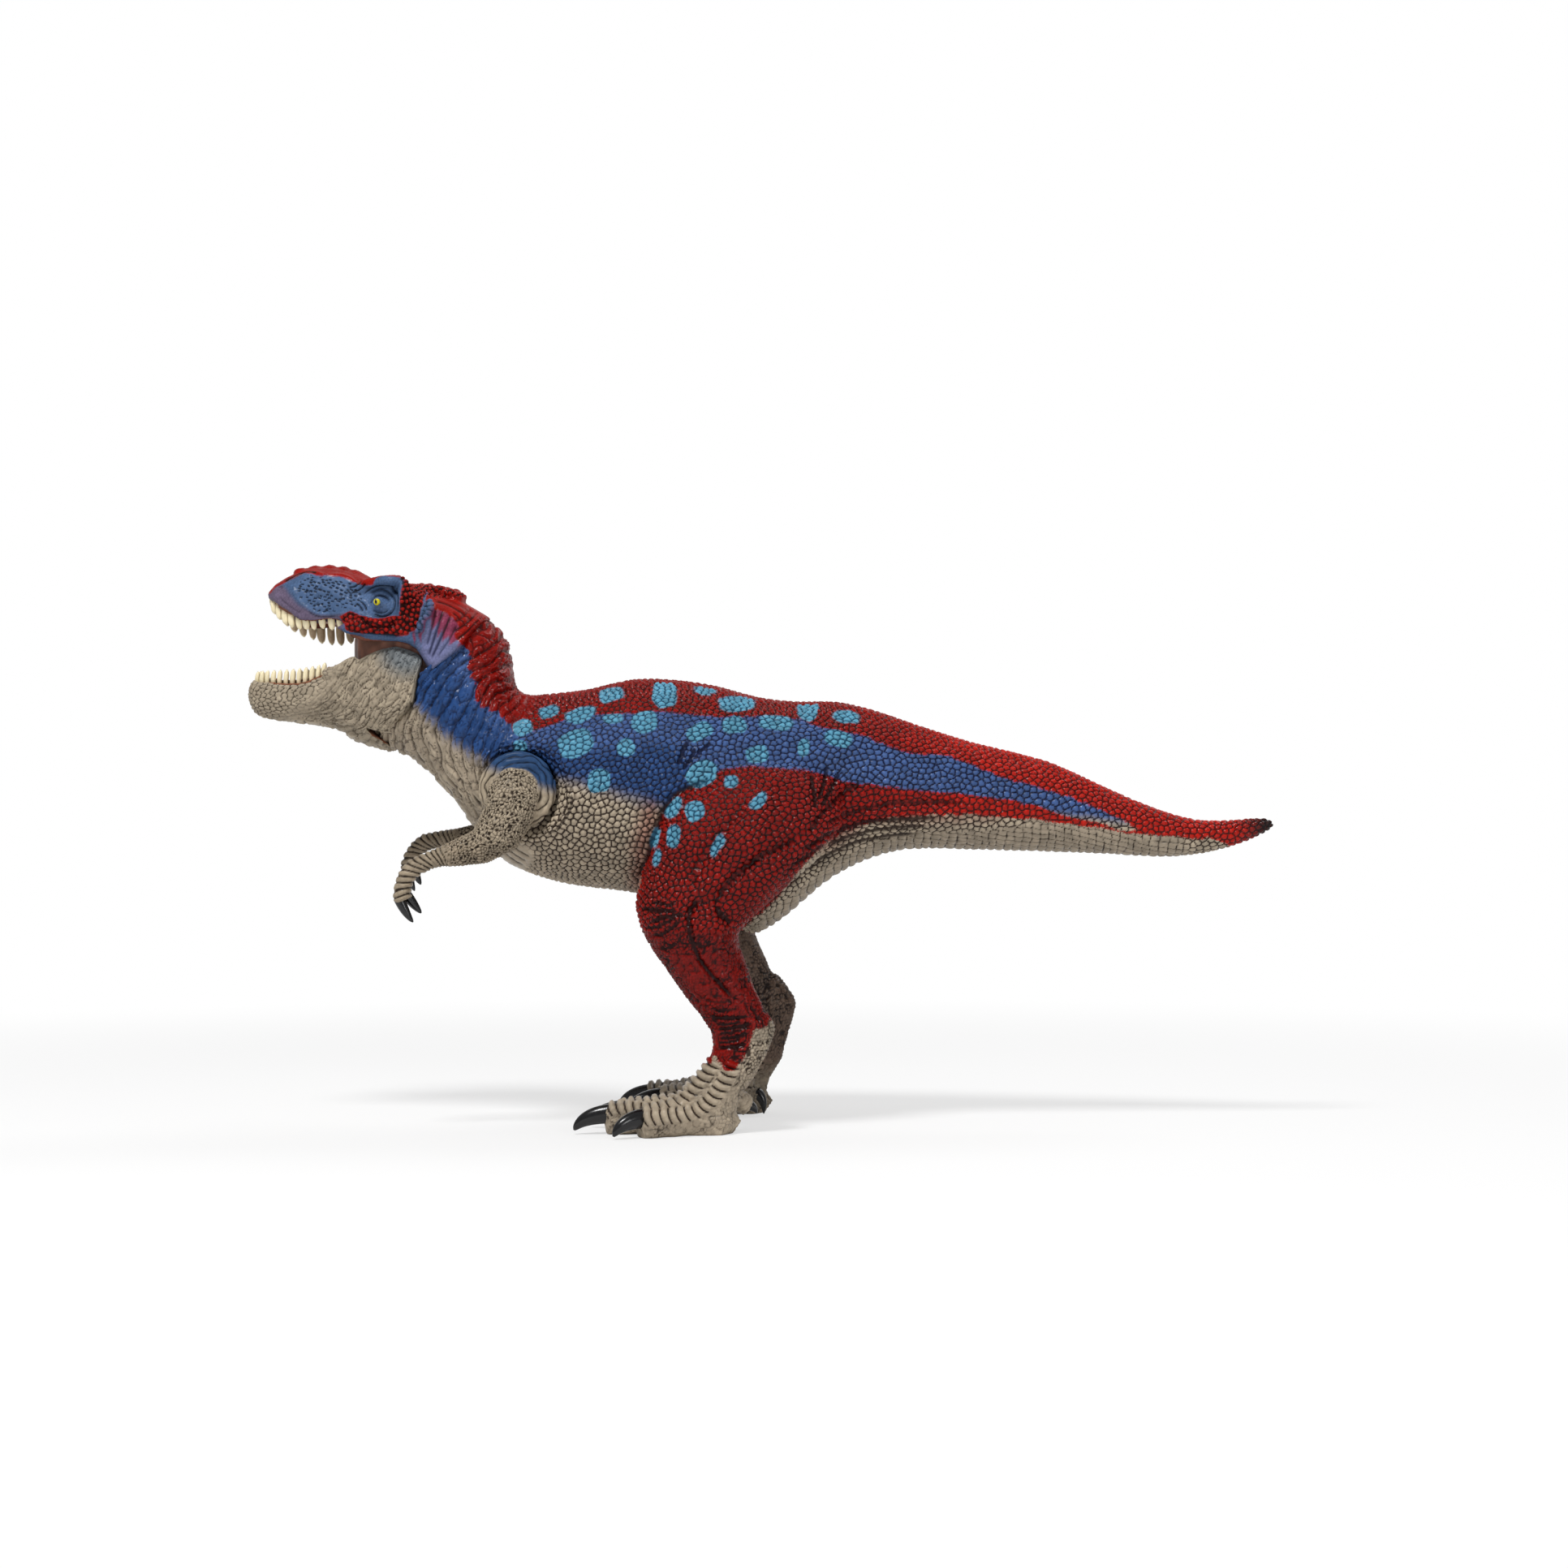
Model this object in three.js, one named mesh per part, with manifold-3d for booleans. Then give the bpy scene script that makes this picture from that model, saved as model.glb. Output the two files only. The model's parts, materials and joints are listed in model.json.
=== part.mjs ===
// Toy dinosaur: a standing two-legged meat eater moulded in soft vinyl, with a jaw that opens and closes
// and two arms that swing at the shoulder.
// Millimetres, +Z up. The head points along -X, the left side is -Y and the soles rest on z = 0.
import * as THREE from 'three';
import { mergeVertices } from 'three/addons/utils/BufferGeometryUtils.js';
import Module from 'manifold-3d';

const wasm = await Module();
wasm.setup();

// Driving dimensions
const figureLength = 280;

/** A share of the figure's length, in millimetres. */
const onFigure = (share) => share * figureLength;

// Clearances
const seatGap = 0.3;
const runningGap = 0.15;
const overrun = 2;

// Jaw hinge
const pinRadius = onFigure(0.00536);
const pinReach = onFigure(0.00857);
const lobeInner = onFigure(0.03786);

// Teeth and mouth
const upperToothLength = onFigure(0.01786);
const lowerToothLength = onFigure(0.00929);
const toothRadius = onFigure(0.00339);
const toothLean = 0.18;
const upperTeethPerSide = 10;
const lowerTeethPerSide = 10;
const toothShoulderShares = { along: 0.55, radius: 0.86 };
const toothTipShare = 0.16;
const smallestToothShare = 0.62;
const toothWaveShare = 0.25;
const gumHeight = onFigure(0.00714);
const gumWidth = onFigure(0.00786);
const upperToothInset = onFigure(0.00714);
const lowerToothInset = onFigure(0.00786);
const palateHeight = onFigure(0.01214);
const mouthFloorDrop = onFigure(0.00571);
const mouthFloorHeight = onFigure(0.00857);
const tongueHeight = onFigure(0.00571);
const tongueRootShare = 0.4;
const tongueSpreadShare = 0.62;
const floorBulgeShare = 0.6;
const palateBulgeShare = 0.6;

// Shoulder swivels
const shoulderFace = onFigure(0.06286);
const shoulderPocketRadius = onFigure(0.04286);
const armStandOff = onFigure(0.00857);
const shoulderPegRadius = onFigure(0.01071);
const shoulderPegLength = onFigure(0.02143);
const rightArmRaise = THREE.MathUtils.degToRad(14);

// Pose of the legs: the right foot stands this far behind the left one
const stepBack = onFigure(0.02857);

// Places as shares of the figure's length, in x and z
const seamShares = [-0.292, 0.460];
const seamTilt = THREE.MathUtils.degToRad(40);
const jawPivotShares = [-0.346, 0.439];
const shoulderShares = [-0.232, 0.319];

// Ribs of the neck, trunk and tail, as shares of the figure's length:
// x and z of the back, x and z of the underside, half width, and how far down the rib is widest
const trunkRibShares = [
  [-0.287, 0.507, -0.400, 0.417, 0.054, 0.50],
  [-0.273, 0.499, -0.386, 0.400, 0.054, 0.50],
  [-0.258, 0.486, -0.375, 0.374, 0.054, 0.50],
  [-0.247, 0.473, -0.358, 0.361, 0.055, 0.50],
  [-0.243, 0.457, -0.337, 0.352, 0.057, 0.50],
  [-0.241, 0.440, -0.315, 0.331, 0.061, 0.50],
  [-0.238, 0.425, -0.294, 0.307, 0.066, 0.52],
  [-0.226, 0.417, -0.273, 0.278, 0.073, 0.54],
  [-0.204, 0.418, -0.245, 0.252, 0.081, 0.56],
  [-0.168, 0.422, -0.192, 0.233, 0.088, 0.58],
  [-0.125, 0.432, -0.137, 0.226, 0.091, 0.58],
  [-0.081, 0.431, -0.085, 0.216, 0.090, 0.52],
  [-0.042, 0.425, -0.039, 0.200, 0.087, 0.44],
  [-0.002, 0.414, -0.006, 0.183, 0.083, 0.38],
  [0.037, 0.410, 0.029, 0.205, 0.077, 0.40],
  [0.073, 0.410, 0.057, 0.230, 0.071, 0.44],
  [0.109, 0.402, 0.093, 0.252, 0.064, 0.48],
  [0.150, 0.388, 0.138, 0.266, 0.057, 0.50],
  [0.207, 0.370, 0.203, 0.266, 0.048, 0.52],
  [0.279, 0.352, 0.279, 0.264, 0.0375, 0.54],
  [0.334, 0.327, 0.338, 0.262, 0.029, 0.54],
  [0.389, 0.304, 0.393, 0.259, 0.021, 0.52],
  [0.429, 0.294, 0.433, 0.263, 0.0155, 0.50],
  [0.468, 0.295, 0.472, 0.274, 0.0105, 0.50],
  [0.492, 0.296, 0.494, 0.285, 0.0055, 0.50],
  [0.500, 0.291, 0.500, 0.289, 0.0012, 0.50],
];

// Ribs of the skull: x and z of its top, x and z of its lip, half width, and how far down it is widest
const headRibShares = [
  [-0.4785, 0.516, -0.477, 0.509, 0.0130, 0.70],
  [-0.471, 0.524, -0.468, 0.503, 0.0240, 0.72],
  [-0.463, 0.529, -0.459, 0.496, 0.0290, 0.74],
  [-0.455, 0.534, -0.450, 0.491, 0.0325, 0.76],
  [-0.446, 0.540, -0.442, 0.487, 0.0350, 0.78],
  [-0.436, 0.543, -0.428, 0.485, 0.0380, 0.78],
  [-0.422, 0.543, -0.414, 0.484, 0.0405, 0.78],
  [-0.408, 0.540, -0.402, 0.481, 0.0430, 0.76],
  [-0.395, 0.535, -0.393, 0.468, 0.0460, 0.74],
  [-0.382, 0.529, -0.378, 0.465, 0.0490, 0.70],
  [-0.368, 0.525, -0.364, 0.465, 0.0515, 0.66],
  [-0.353, 0.525, -0.348, 0.464, 0.0545, 0.64],
  [-0.340, 0.522, -0.337, 0.461, 0.0560, 0.62],
  [-0.325, 0.518, -0.329, 0.457, 0.0565, 0.60],
  [-0.311, 0.513, -0.324, 0.448, 0.0560, 0.58],
  [-0.287, 0.505, -0.320, 0.437, 0.0550, 0.54],
  [-0.267, 0.493, -0.318, 0.426, 0.0545, 0.50],
];
const upperToothRowStart = 0.5;
const upperToothRowEnd = 6.9;
const palateRibs = [1, 2, 3, 4, 5, 6, 7, 8, 9, 10];

// Ribs of the lower jaw: x and z of its rim, x and z of its underside, half width, and where it is widest
const jawRibShares = [
  [-0.4965, 0.424, -0.499, 0.412, 0.0110, 0.45],
  [-0.491, 0.429, -0.496, 0.403, 0.0160, 0.45],
  [-0.483, 0.429, -0.488, 0.395, 0.0200, 0.42],
  [-0.468, 0.429, -0.473, 0.391, 0.0245, 0.40],
  [-0.444, 0.429, -0.450, 0.388, 0.0295, 0.38],
  [-0.431, 0.434, -0.429, 0.385, 0.0330, 0.38],
  [-0.417, 0.443, -0.409, 0.380, 0.0370, 0.40],
  [-0.396, 0.445, -0.394, 0.369, 0.0430, 0.42],
  [-0.374, 0.455, -0.376, 0.361, 0.0495, 0.44],
  [-0.348, 0.462, -0.360, 0.360, 0.0550, 0.46],
  [-0.322, 0.460, -0.342, 0.358, 0.0570, 0.48],
];
const lowerToothRowStart = 0.8;
const lowerToothRowEnd = 6.1;
const mouthFloorRibs = [2, 3, 4, 5, 6];

// Rear edge of the jaw's cheek lobes, below the round part at the hinge
const lobeRadiusShare = 0.0232;
const lobeEdgeShares = [
  [-0.3245, 0.431],
  [-0.327, 0.421],
  [-0.332, 0.407],
  [-0.341, 0.396],
  [-0.350, 0.387],
  [-0.362, 0.379],
  [-0.364, 0.371],
  [-0.360, 0.350],
];

// Front of the hollow between the cheek lobes, where the throat passes through
const throatHollowShares = [
  [-0.405, 0.455],
  [-0.402, 0.426],
  [-0.394, 0.402],
  [-0.380, 0.386],
  [-0.374, 0.350],
];

// Side outline of the fleshy core behind the mouth, between the two jaws
const mouthCoreShares = [
  [-0.394, 0.474],
  [-0.395, 0.449],
  [-0.380, 0.431],
  [-0.366, 0.409],
  [-0.350, 0.390],
  [-0.290, 0.440],
  [-0.318, 0.462],
  [-0.340, 0.470],
];

// Ribs of the left leg from hip to sole: x and z of its front, x and z of its back, half width,
// and how far out from the middle plane its centre lies
const legRibShares = [
  [-0.015, 0.364, 0.050, 0.352, 0.016, 0.052],
  [-0.048, 0.346, 0.080, 0.326, 0.036, 0.062],
  [-0.078, 0.314, 0.078, 0.289, 0.047, 0.069],
  [-0.100, 0.279, 0.054, 0.256, 0.050, 0.075],
  [-0.114, 0.241, 0.017, 0.224, 0.047, 0.080],
  [-0.118, 0.213, -0.010, 0.200, 0.041, 0.085],
  [-0.112, 0.191, -0.021, 0.185, 0.035, 0.092],
  [-0.100, 0.170, -0.018, 0.172, 0.0325, 0.092],
  [-0.086, 0.151, -0.012, 0.156, 0.0300, 0.094],
  [-0.070, 0.128, -0.006, 0.137, 0.0245, 0.095],
  [-0.056, 0.111, 0.004, 0.117, 0.0195, 0.096],
  [-0.045, 0.093, 0.015, 0.100, 0.0175, 0.096],
  [-0.045, 0.074, 0.008, 0.078, 0.0165, 0.096],
  [-0.056, 0.058, -0.005, 0.054, 0.0180, 0.096],
  [-0.070, 0.043, -0.018, 0.035, 0.0215, 0.096],
  [-0.080, 0.034, -0.024, 0.017, 0.0240, 0.096],
  [-0.084, 0.027, -0.030, 0.001, 0.0250, 0.096],
];

// Toes of the left foot: x, distance out and height of each knuckle, then the claw's bend and tip
const toeRadiusShares = [0.0200, 0.0168, 0.0176, 0.0152, 0.0160, 0.0120];
const clawRadiusShare = 0.0098;
const middleToeShares = {
  start: [-0.070, 0.097, 0.018],
  end: [-0.147, 0.103, 0.013],
  bend: [-0.166, 0.105, 0.019],
  tip: [-0.1735, 0.105, 0.004],
};
const outerToeShares = {
  start: [-0.064, 0.106, 0.016],
  end: [-0.112, 0.137, 0.012],
  bend: [-0.128, 0.146, 0.018],
  tip: [-0.134, 0.150, 0.003],
};
const innerToeShares = {
  start: [-0.070, 0.088, 0.018],
  end: [-0.134, 0.059, 0.013],
  bend: [-0.154, 0.051, 0.020],
  tip: [-0.163, 0.048, 0.006],
};
const hindToeShares = [[-0.030, 0.082, 0.034], [-0.016, 0.070, 0.026], [-0.010, 0.064, 0.021]];
const hindToeRadiusShares = [0.0110, 0.0105, 0.0080];
const hindClawShares = [[-0.011, 0.065, 0.021], [-0.003, 0.060, 0.018], [0.000, 0.057, 0.007]];
const hindClawRadiusShare = 0.0065;
const solePadShares = { centre: [-0.055, 0.096, 0.012], radii: [0.038, 0.027, 0.022] };

// Ribs of the left arm from shoulder to knuckles, laid out like the leg's
const armRibShares = [
  [-0.238, 0.352, -0.226, 0.350, 0.008, 0.075],
  [-0.249, 0.342, -0.212, 0.334, 0.019, 0.077],
  [-0.258, 0.326, -0.204, 0.316, 0.0235, 0.081],
  [-0.261, 0.304, -0.212, 0.292, 0.0225, 0.085],
  [-0.270, 0.284, -0.229, 0.266, 0.0190, 0.092],
  [-0.281, 0.279, -0.255, 0.253, 0.0145, 0.091],
  [-0.299, 0.270, -0.280, 0.250, 0.0120, 0.092],
  [-0.318, 0.262, -0.303, 0.249, 0.0105, 0.092],
  [-0.331, 0.256, -0.317, 0.243, 0.0105, 0.092],
  [-0.340, 0.244, -0.324, 0.237, 0.0110, 0.092],
  [-0.344, 0.231, -0.327, 0.230, 0.0115, 0.092],
  [-0.345, 0.219, -0.327, 0.221, 0.0105, 0.092],
  [-0.340, 0.213, -0.330, 0.215, 0.0070, 0.092],
];
const fingerClawShares = [
  [[-0.337, 0.096, 0.217], [-0.332, 0.097, 0.206], [-0.325, 0.097, 0.198]],
  [[-0.331, 0.087, 0.221], [-0.325, 0.086, 0.213], [-0.319, 0.086, 0.206]],
];
const fingerClawRadiusShare = 0.0052;

// Carved forms of the skull: centres in x, distance out and z, and radii in the same order
const browShares = [
  { centre: [-0.371, 0.0390, 0.5215], radii: [0.016, 0.0075, 0.0060] },
  { centre: [-0.352, 0.0440, 0.5225], radii: [0.014, 0.0085, 0.0070] },
  { centre: [-0.339, 0.0470, 0.5080], radii: [0.0075, 0.0090, 0.0150] },
];
const cheekShares = { centre: [-0.372, 0.0475, 0.4780], radii: [0.034, 0.0085, 0.0085] };
const eyeShares = [-0.366, 0.0478, 0.502];
const eyeSocketShares = [-0.366, 0.0545, 0.502];
const eyeRadiusShare = 0.0062;
const eyeSocketRadiusShare = 0.0110;
const nostrilShares = { centre: [-0.4655, 0.0235, 0.5185], radii: [0.0055, 0.0050, 0.0032] };
const snoutBumpShares = [
  [-0.447, 0.5365],
  [-0.435, 0.5395],
  [-0.422, 0.5400],
  [-0.409, 0.5375],
  [-0.397, 0.5330],
  [-0.386, 0.5280],
];
const snoutBumpRadiusShares = [0.0095, 0.0130, 0.0065];
const crestBumpShares = [
  [-0.334, 0.5180],
  [-0.324, 0.5175],
  [-0.313, 0.5160],
  [-0.302, 0.5130],
  [-0.2945, 0.5095],
];
const crestBumpRadiusShares = [0.0075, 0.0200, 0.0055];
const headPegShares = { radius: 0.030, reach: 0.030 };

// Claws: radii at the bend, in side view and in top view, and at the tip, as parts of the base radius
const clawBendShares = { side: 0.70, top: 0.78 };
const clawTipShare = 0.12;
const clawRootShare = 0.92;

// Roundness of a section's upper and lower half: 2 is an ellipse and more is squarer
const trunkRound = { crown: 2.15, keel: 2.1 };
const skullRound = { crown: 2.3, keel: 5 };
const jawRound = { crown: 3.2, keel: 2.1 };
const palateRound = { crown: 2.4, keel: 4 };
const mouthFloorRound = { crown: 3, keel: 2.4 };
const legRound = { crown: 2.1, keel: 2.2 };
const armRound = { crown: 2.2, keel: 2.2 };
const evenlyWideShare = 0.5;

// Fineness of the facets
const trunkSides = 20;
const headSides = 20;
const legSides = 16;
const toeSides = 8;
const toeSteps = 7;
const limbSides = 14;
const barSides = 20;
const hornSides = 6;
const toothSides = 4;
const ballSides = 8;
const ballRings = 4;
const stripSteps = 20;
const clawSteps = 4;
const toothSteps = 2;
const tongueSteps = 8;
const lobeSteps = 12;
const lobeSweep = THREE.MathUtils.degToRad(105);
const rowFineness = 10;
const rowSpans = 8;

/** A place given as shares of the figure's length, in millimetres. */
const placed = ([x, out, z], side) => new THREE.Vector3(onFigure(x), side * onFigure(out), onFigure(z));

/** Turns a closed geometry into a solid, with its faces pointing out. */
function solid(geometry) {
  const bare = geometry.clone();
  bare.deleteAttribute('normal');
  bare.deleteAttribute('uv');
  const merged = mergeVertices(bare, 1e-4);
  const vertProperties = new Float32Array(merged.attributes.position.array);
  const triVerts = new Uint32Array(merged.index.array);
  if (enclosedVolume(vertProperties, triVerts) < 0) {
    for (let i = 0; i < triVerts.length; i += 3) {
      [triVerts[i], triVerts[i + 1]] = [triVerts[i + 1], triVerts[i]];
    }
  }
  return new wasm.Manifold(new wasm.Mesh({ numProp: 3, vertProperties, triVerts }));
}

/** Signed volume of a closed triangle mesh. */
function enclosedVolume(positions, triangles) {
  const [a, b, c] = [new THREE.Vector3(), new THREE.Vector3(), new THREE.Vector3()];
  let six = 0;
  for (let i = 0; i < triangles.length; i += 3) {
    a.fromArray(positions, 3 * triangles[i]);
    b.fromArray(positions, 3 * triangles[i + 1]);
    c.fromArray(positions, 3 * triangles[i + 2]);
    six += a.dot(b.cross(c));
  }
  return six / 6;
}

/** Joins rings of points into a closed skin with flat ends. */
function skinOf(rings) {
  const sides = rings[0].length;
  const positions = rings.flat().flatMap((point) => point.toArray());
  const index = [];
  for (let r = 0; r + 1 < rings.length; r++) {
    for (let s = 0; s < sides; s++) {
      const a = r * sides + s;
      const b = r * sides + (s + 1) % sides;
      index.push(a, b, a + sides, b, b + sides, a + sides);
    }
  }
  const last = (rings.length - 1) * sides;
  for (let s = 1; s + 1 < sides; s++) {
    index.push(0, s + 1, s);
    index.push(last, last + s, last + s + 1);
  }
  const geometry = new THREE.BufferGeometry();
  geometry.setAttribute('position', new THREE.Float32BufferAttribute(positions, 3));
  geometry.setIndex(index);
  return geometry;
}

/** Ribs in millimetres from rows of shares, with steps of smooth curve between neighbouring rows. */
function ribsOf(rows, { side = 0, perSpan = 2, lean = () => 0 } = {}) {
  const upper = new THREE.CatmullRomCurve3(rows.map(([x, z, , , half]) => new THREE.Vector3(x, z, half)));
  const lower = new THREE.CatmullRomCurve3(rows.map(([, , x, z, , last]) => new THREE.Vector3(x, z, last)));
  const count = (rows.length - 1) * perSpan;
  return Array.from({ length: count + 1 }, (_, i) => {
    const a = upper.getPoint(i / count);
    const b = lower.getPoint(i / count);
    return {
      a: new THREE.Vector2(onFigure(a.x) + lean(onFigure(a.y)), onFigure(a.y)),
      b: new THREE.Vector2(onFigure(b.x) + lean(onFigure(b.y)), onFigure(b.y)),
      half: onFigure(a.z),
      centre: side * onFigure(b.z),
      widest: side === 0 ? b.z : evenlyWideShare,
    };
  });
}

/** One ring of a rib. Crown and keel say how square its upper and lower halves are: 2 is an ellipse. */
function ringOf(rib, { sides, crown, keel, grow = 0 }) {
  const along = rib.b.clone().sub(rib.a);
  const length = along.length();
  const unit = along.divideScalar(length);
  const top = rib.a.clone().addScaledVector(unit, -grow);
  const full = length + 2 * grow;
  return Array.from({ length: sides }, (_, i) => {
    const angle = (2 * Math.PI * i) / sides;
    const power = 2 / (Math.cos(angle) > 0 ? crown : keel);
    const rise = Math.abs(Math.cos(angle)) ** power;
    const spread = Math.sign(Math.sin(angle)) * Math.abs(Math.sin(angle)) ** power;
    const down = Math.cos(angle) > 0 ? rib.widest * (1 - rise) : rib.widest + (1 - rib.widest) * rise;
    const point = top.clone().addScaledVector(unit, full * down);
    return new THREE.Vector3(point.x, rib.centre + spread * (rib.half + grow), point.y);
  });
}

/** A solid through a row of ribs. */
function loft(ribs, section) {
  return solid(skinOf(ribs.map((rib) => ringOf(rib, section))));
}

/** A tapering bar along a smooth path; radii are given towards the reference direction and across it. */
function bar({ path, towards, across, reference, sides, steps, spin = 0 }) {
  const curve = new THREE.CatmullRomCurve3(path);
  const radii = new THREE.CatmullRomCurve3(towards.map((t, i) => new THREE.Vector3(t, across[i], 0)));
  const rings = [];
  for (let s = 0; s <= steps; s++) {
    const middle = curve.getPoint(s / steps);
    const tangent = curve.getTangent(s / steps);
    const up = reference.clone().addScaledVector(tangent, -reference.dot(tangent)).normalize();
    const beside = tangent.clone().cross(up);
    const radius = radii.getPoint(s / steps);
    rings.push(Array.from({ length: sides }, (_, i) => {
      const angle = spin + (2 * Math.PI * i) / sides;
      return middle.clone()
        .addScaledVector(up, radius.x * Math.cos(angle))
        .addScaledVector(beside, radius.y * Math.sin(angle));
    }));
  }
  return solid(skinOf(rings));
}

/** A ball stretched to three radii. */
function ball({ centre, radii }, side, shift = new THREE.Vector3()) {
  const geometry = new THREE.SphereGeometry(1, ballSides, ballRings);
  geometry.scale(...radii.map(onFigure));
  geometry.translate(...placed(centre, side).add(shift).toArray());
  return solid(geometry);
}

/** A round ball. */
const roundBall = (centre, radius, side) => ball({ centre, radii: [radius, radius, radius] }, side);

/** A round bar across the figure, between two distances from the middle plane. */
function crossBar([x, z], radius, from, to) {
  const geometry = new THREE.CylinderGeometry(radius, radius, to - from, barSides);
  geometry.translate(onFigure(x), (from + to) / 2, onFigure(z));
  return solid(geometry);
}

/** A plate with a side-view outline, between two distances from the middle plane. */
function sidePlate(points, from, to) {
  const depth = to - from;
  const geometry = new THREE.ExtrudeGeometry(new THREE.Shape(points), { depth, bevelEnabled: false });
  geometry.rotateX(Math.PI / 2);
  geometry.translate(0, to, 0);
  return solid(geometry);
}

/** A block with the given lowest and highest corners. */
function block(low, high) {
  const size = high.clone().sub(low);
  const geometry = new THREE.BoxGeometry(size.x, size.y, size.z);
  const middle = low.clone().add(high).multiplyScalar(0.5);
  geometry.translate(middle.x, middle.y, middle.z);
  return solid(geometry);
}

/** Everything behind the seam between head and neck, starting at a distance behind it. */
function behindSeam(distance) {
  const geometry = new THREE.BoxGeometry(figureLength, figureLength, figureLength);
  geometry.translate(0, 0, -figureLength / 2 - distance);
  geometry.rotateY(-seamTilt);
  geometry.translate(onFigure(seamShares[0]), 0, onFigure(seamShares[1]));
  return solid(geometry);
}

/** Everything under the ground. */
function underGround() {
  return block(new THREE.Vector3(-figureLength, -figureLength, -figureLength),
    new THREE.Vector3(figureLength, figureLength, 0));
}

/** The first solid with all the others joined to it. */
const joined = (first, others) => others.reduce((sum, other) => sum.add(other), first);

/** The first solid with all the others cut from it. */
const cutBy = (first, others) => others.reduce((rest, other) => rest.subtract(other), first);

/** What a maker gives for the left side and for the right side. */
const bothSides = (make) => [-1, 1].map(make);

// Lower jaw

/** Side outline of the jaw's cheek lobes: a box in front, the round of the hinge and the rear edge. */
function lobeOutline(grow) {
  const pivot = new THREE.Vector2(...jawPivotShares.map(onFigure));
  const radius = onFigure(lobeRadiusShare) + grow;
  const round = Array.from({ length: lobeSteps + 1 }, (_, i) => {
    const angle = Math.PI / 2 - (i / lobeSteps) * lobeSweep;
    return pivot.clone().add(new THREE.Vector2(Math.cos(angle), Math.sin(angle)).multiplyScalar(radius));
  });
  const edge = lobeEdgeShares.map(([x, z]) => new THREE.Vector2(onFigure(x) + grow, onFigure(z)));
  const ahead = -figureLength;
  return [
    new THREE.Vector2(ahead, onFigure(lobeEdgeShares.at(-1)[1])),
    new THREE.Vector2(ahead, round[0].y + radius),
    ...round,
    ...edge,
  ].filter((point, i, all) => i === 0 || point.distanceTo(all[i - 1]) > seatGap);
}

/** Hollow between the cheek lobes. */
function throatHollow(grow) {
  const front = throatHollowShares.map(([x, z]) => new THREE.Vector2(onFigure(x) - grow, onFigure(z)));
  const top = onFigure(headRibShares[0][1]);
  const outline = [
    new THREE.Vector2(front[0].x, top),
    ...front,
    new THREE.Vector2(0, front.at(-1).y),
    new THREE.Vector2(0, top),
  ];
  return sidePlate(outline, -(lobeInner + grow), lobeInner + grow);
}

/** Outer form of the jaw, larger all round by grow. */
function jawBody(grow) {
  const body = loft(ribsOf(jawRibShares), { ...jawRound, sides: limbSides, grow });
  const wide = onFigure(jawRibShares.at(-1)[4]) + overrun;
  return body.intersect(sidePlate(lobeOutline(grow), -wide, wide)).subtract(throatHollow(-grow));
}

/** A row's path round the mouth, inset from the lips. */
function rowPath(rows, from, to, inset, rise) {
  const ribs = ribsOf(rows, { perSpan: rowFineness });
  const lips = ribs.map((rib) => (rise > 0 ? rib.b : rib.a));
  const places = Array.from({ length: rowSpans + 1 }, (_, i) => {
    const at = Math.round((from + (to - from) * (i / rowSpans)) * rowFineness);
    const x = lips[at].x + inset / 2;
    const level = lips.find((lip) => lip.x >= x).y;
    return { x, out: ribs[at].half - inset, z: level + rise };
  });
  const left = places.map(({ x, out, z }) => new THREE.Vector3(x, -out, z)).reverse();
  const right = places.map(({ x, out, z }) => new THREE.Vector3(x, out, z));
  return [...left, ...right];
}

/** A gum strip that carries a row of teeth; grow makes the groove that it seats in. */
function gumStrip(path, grow) {
  const ends = [[path[0], path[1]], [path.at(-1), path.at(-2)]];
  const [first, last] = ends.map(([end, next]) => end.clone().add(end.clone().sub(next).setLength(grow)));
  return bar({
    path: [first, ...path.slice(1, -1), last],
    towards: path.map(() => (gumHeight / 2 + grow) * Math.SQRT2),
    across: path.map(() => (gumWidth / 2 + grow) * Math.SQRT2),
    reference: new THREE.Vector3(0, 0, 1),
    sides: 4,
    steps: stripSteps,
    spin: Math.PI / 4,
  });
}

/** Teeth spaced evenly along a gum strip, pointing down or up and leaning back. */
function teethOn(path, perSide, length, direction) {
  const curve = new THREE.CatmullRomCurve3(path);
  const count = 2 * perSide;
  return Array.from({ length: count }, (_, i) => {
    const root = curve.getPointAt((i + 0.5) / count);
    const backness = Math.abs((2 * i + 1) / count - 1);
    const swell = Math.sin(Math.PI * Math.min(1, toothWaveShare + backness));
    const size = length * (smallestToothShare + (1 - smallestToothShare) * swell);
    const lean = size * backness * toothLean;
    const tip = root.clone().add(new THREE.Vector3(lean, 0, direction * (size + gumHeight / 2)));
    const middle = root.clone().lerp(tip, toothShoulderShares.along);
    middle.x -= lean / 2;
    const radii = [1, toothShoulderShares.radius, toothTipShare].map((part) => part * toothRadius);
    return bar({
      path: [root, middle, tip],
      towards: radii,
      across: radii,
      reference: new THREE.Vector3(0, 1, 0),
      sides: toothSides,
      steps: toothSteps,
    });
  });
}

const gumRise = gumHeight / 4;
const lowerGumPath = rowPath(jawRibShares, lowerToothRowStart, lowerToothRowEnd, lowerToothInset, -gumRise);
const upperGumPath = rowPath(headRibShares, upperToothRowStart, upperToothRowEnd, upperToothInset, gumRise);

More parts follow.
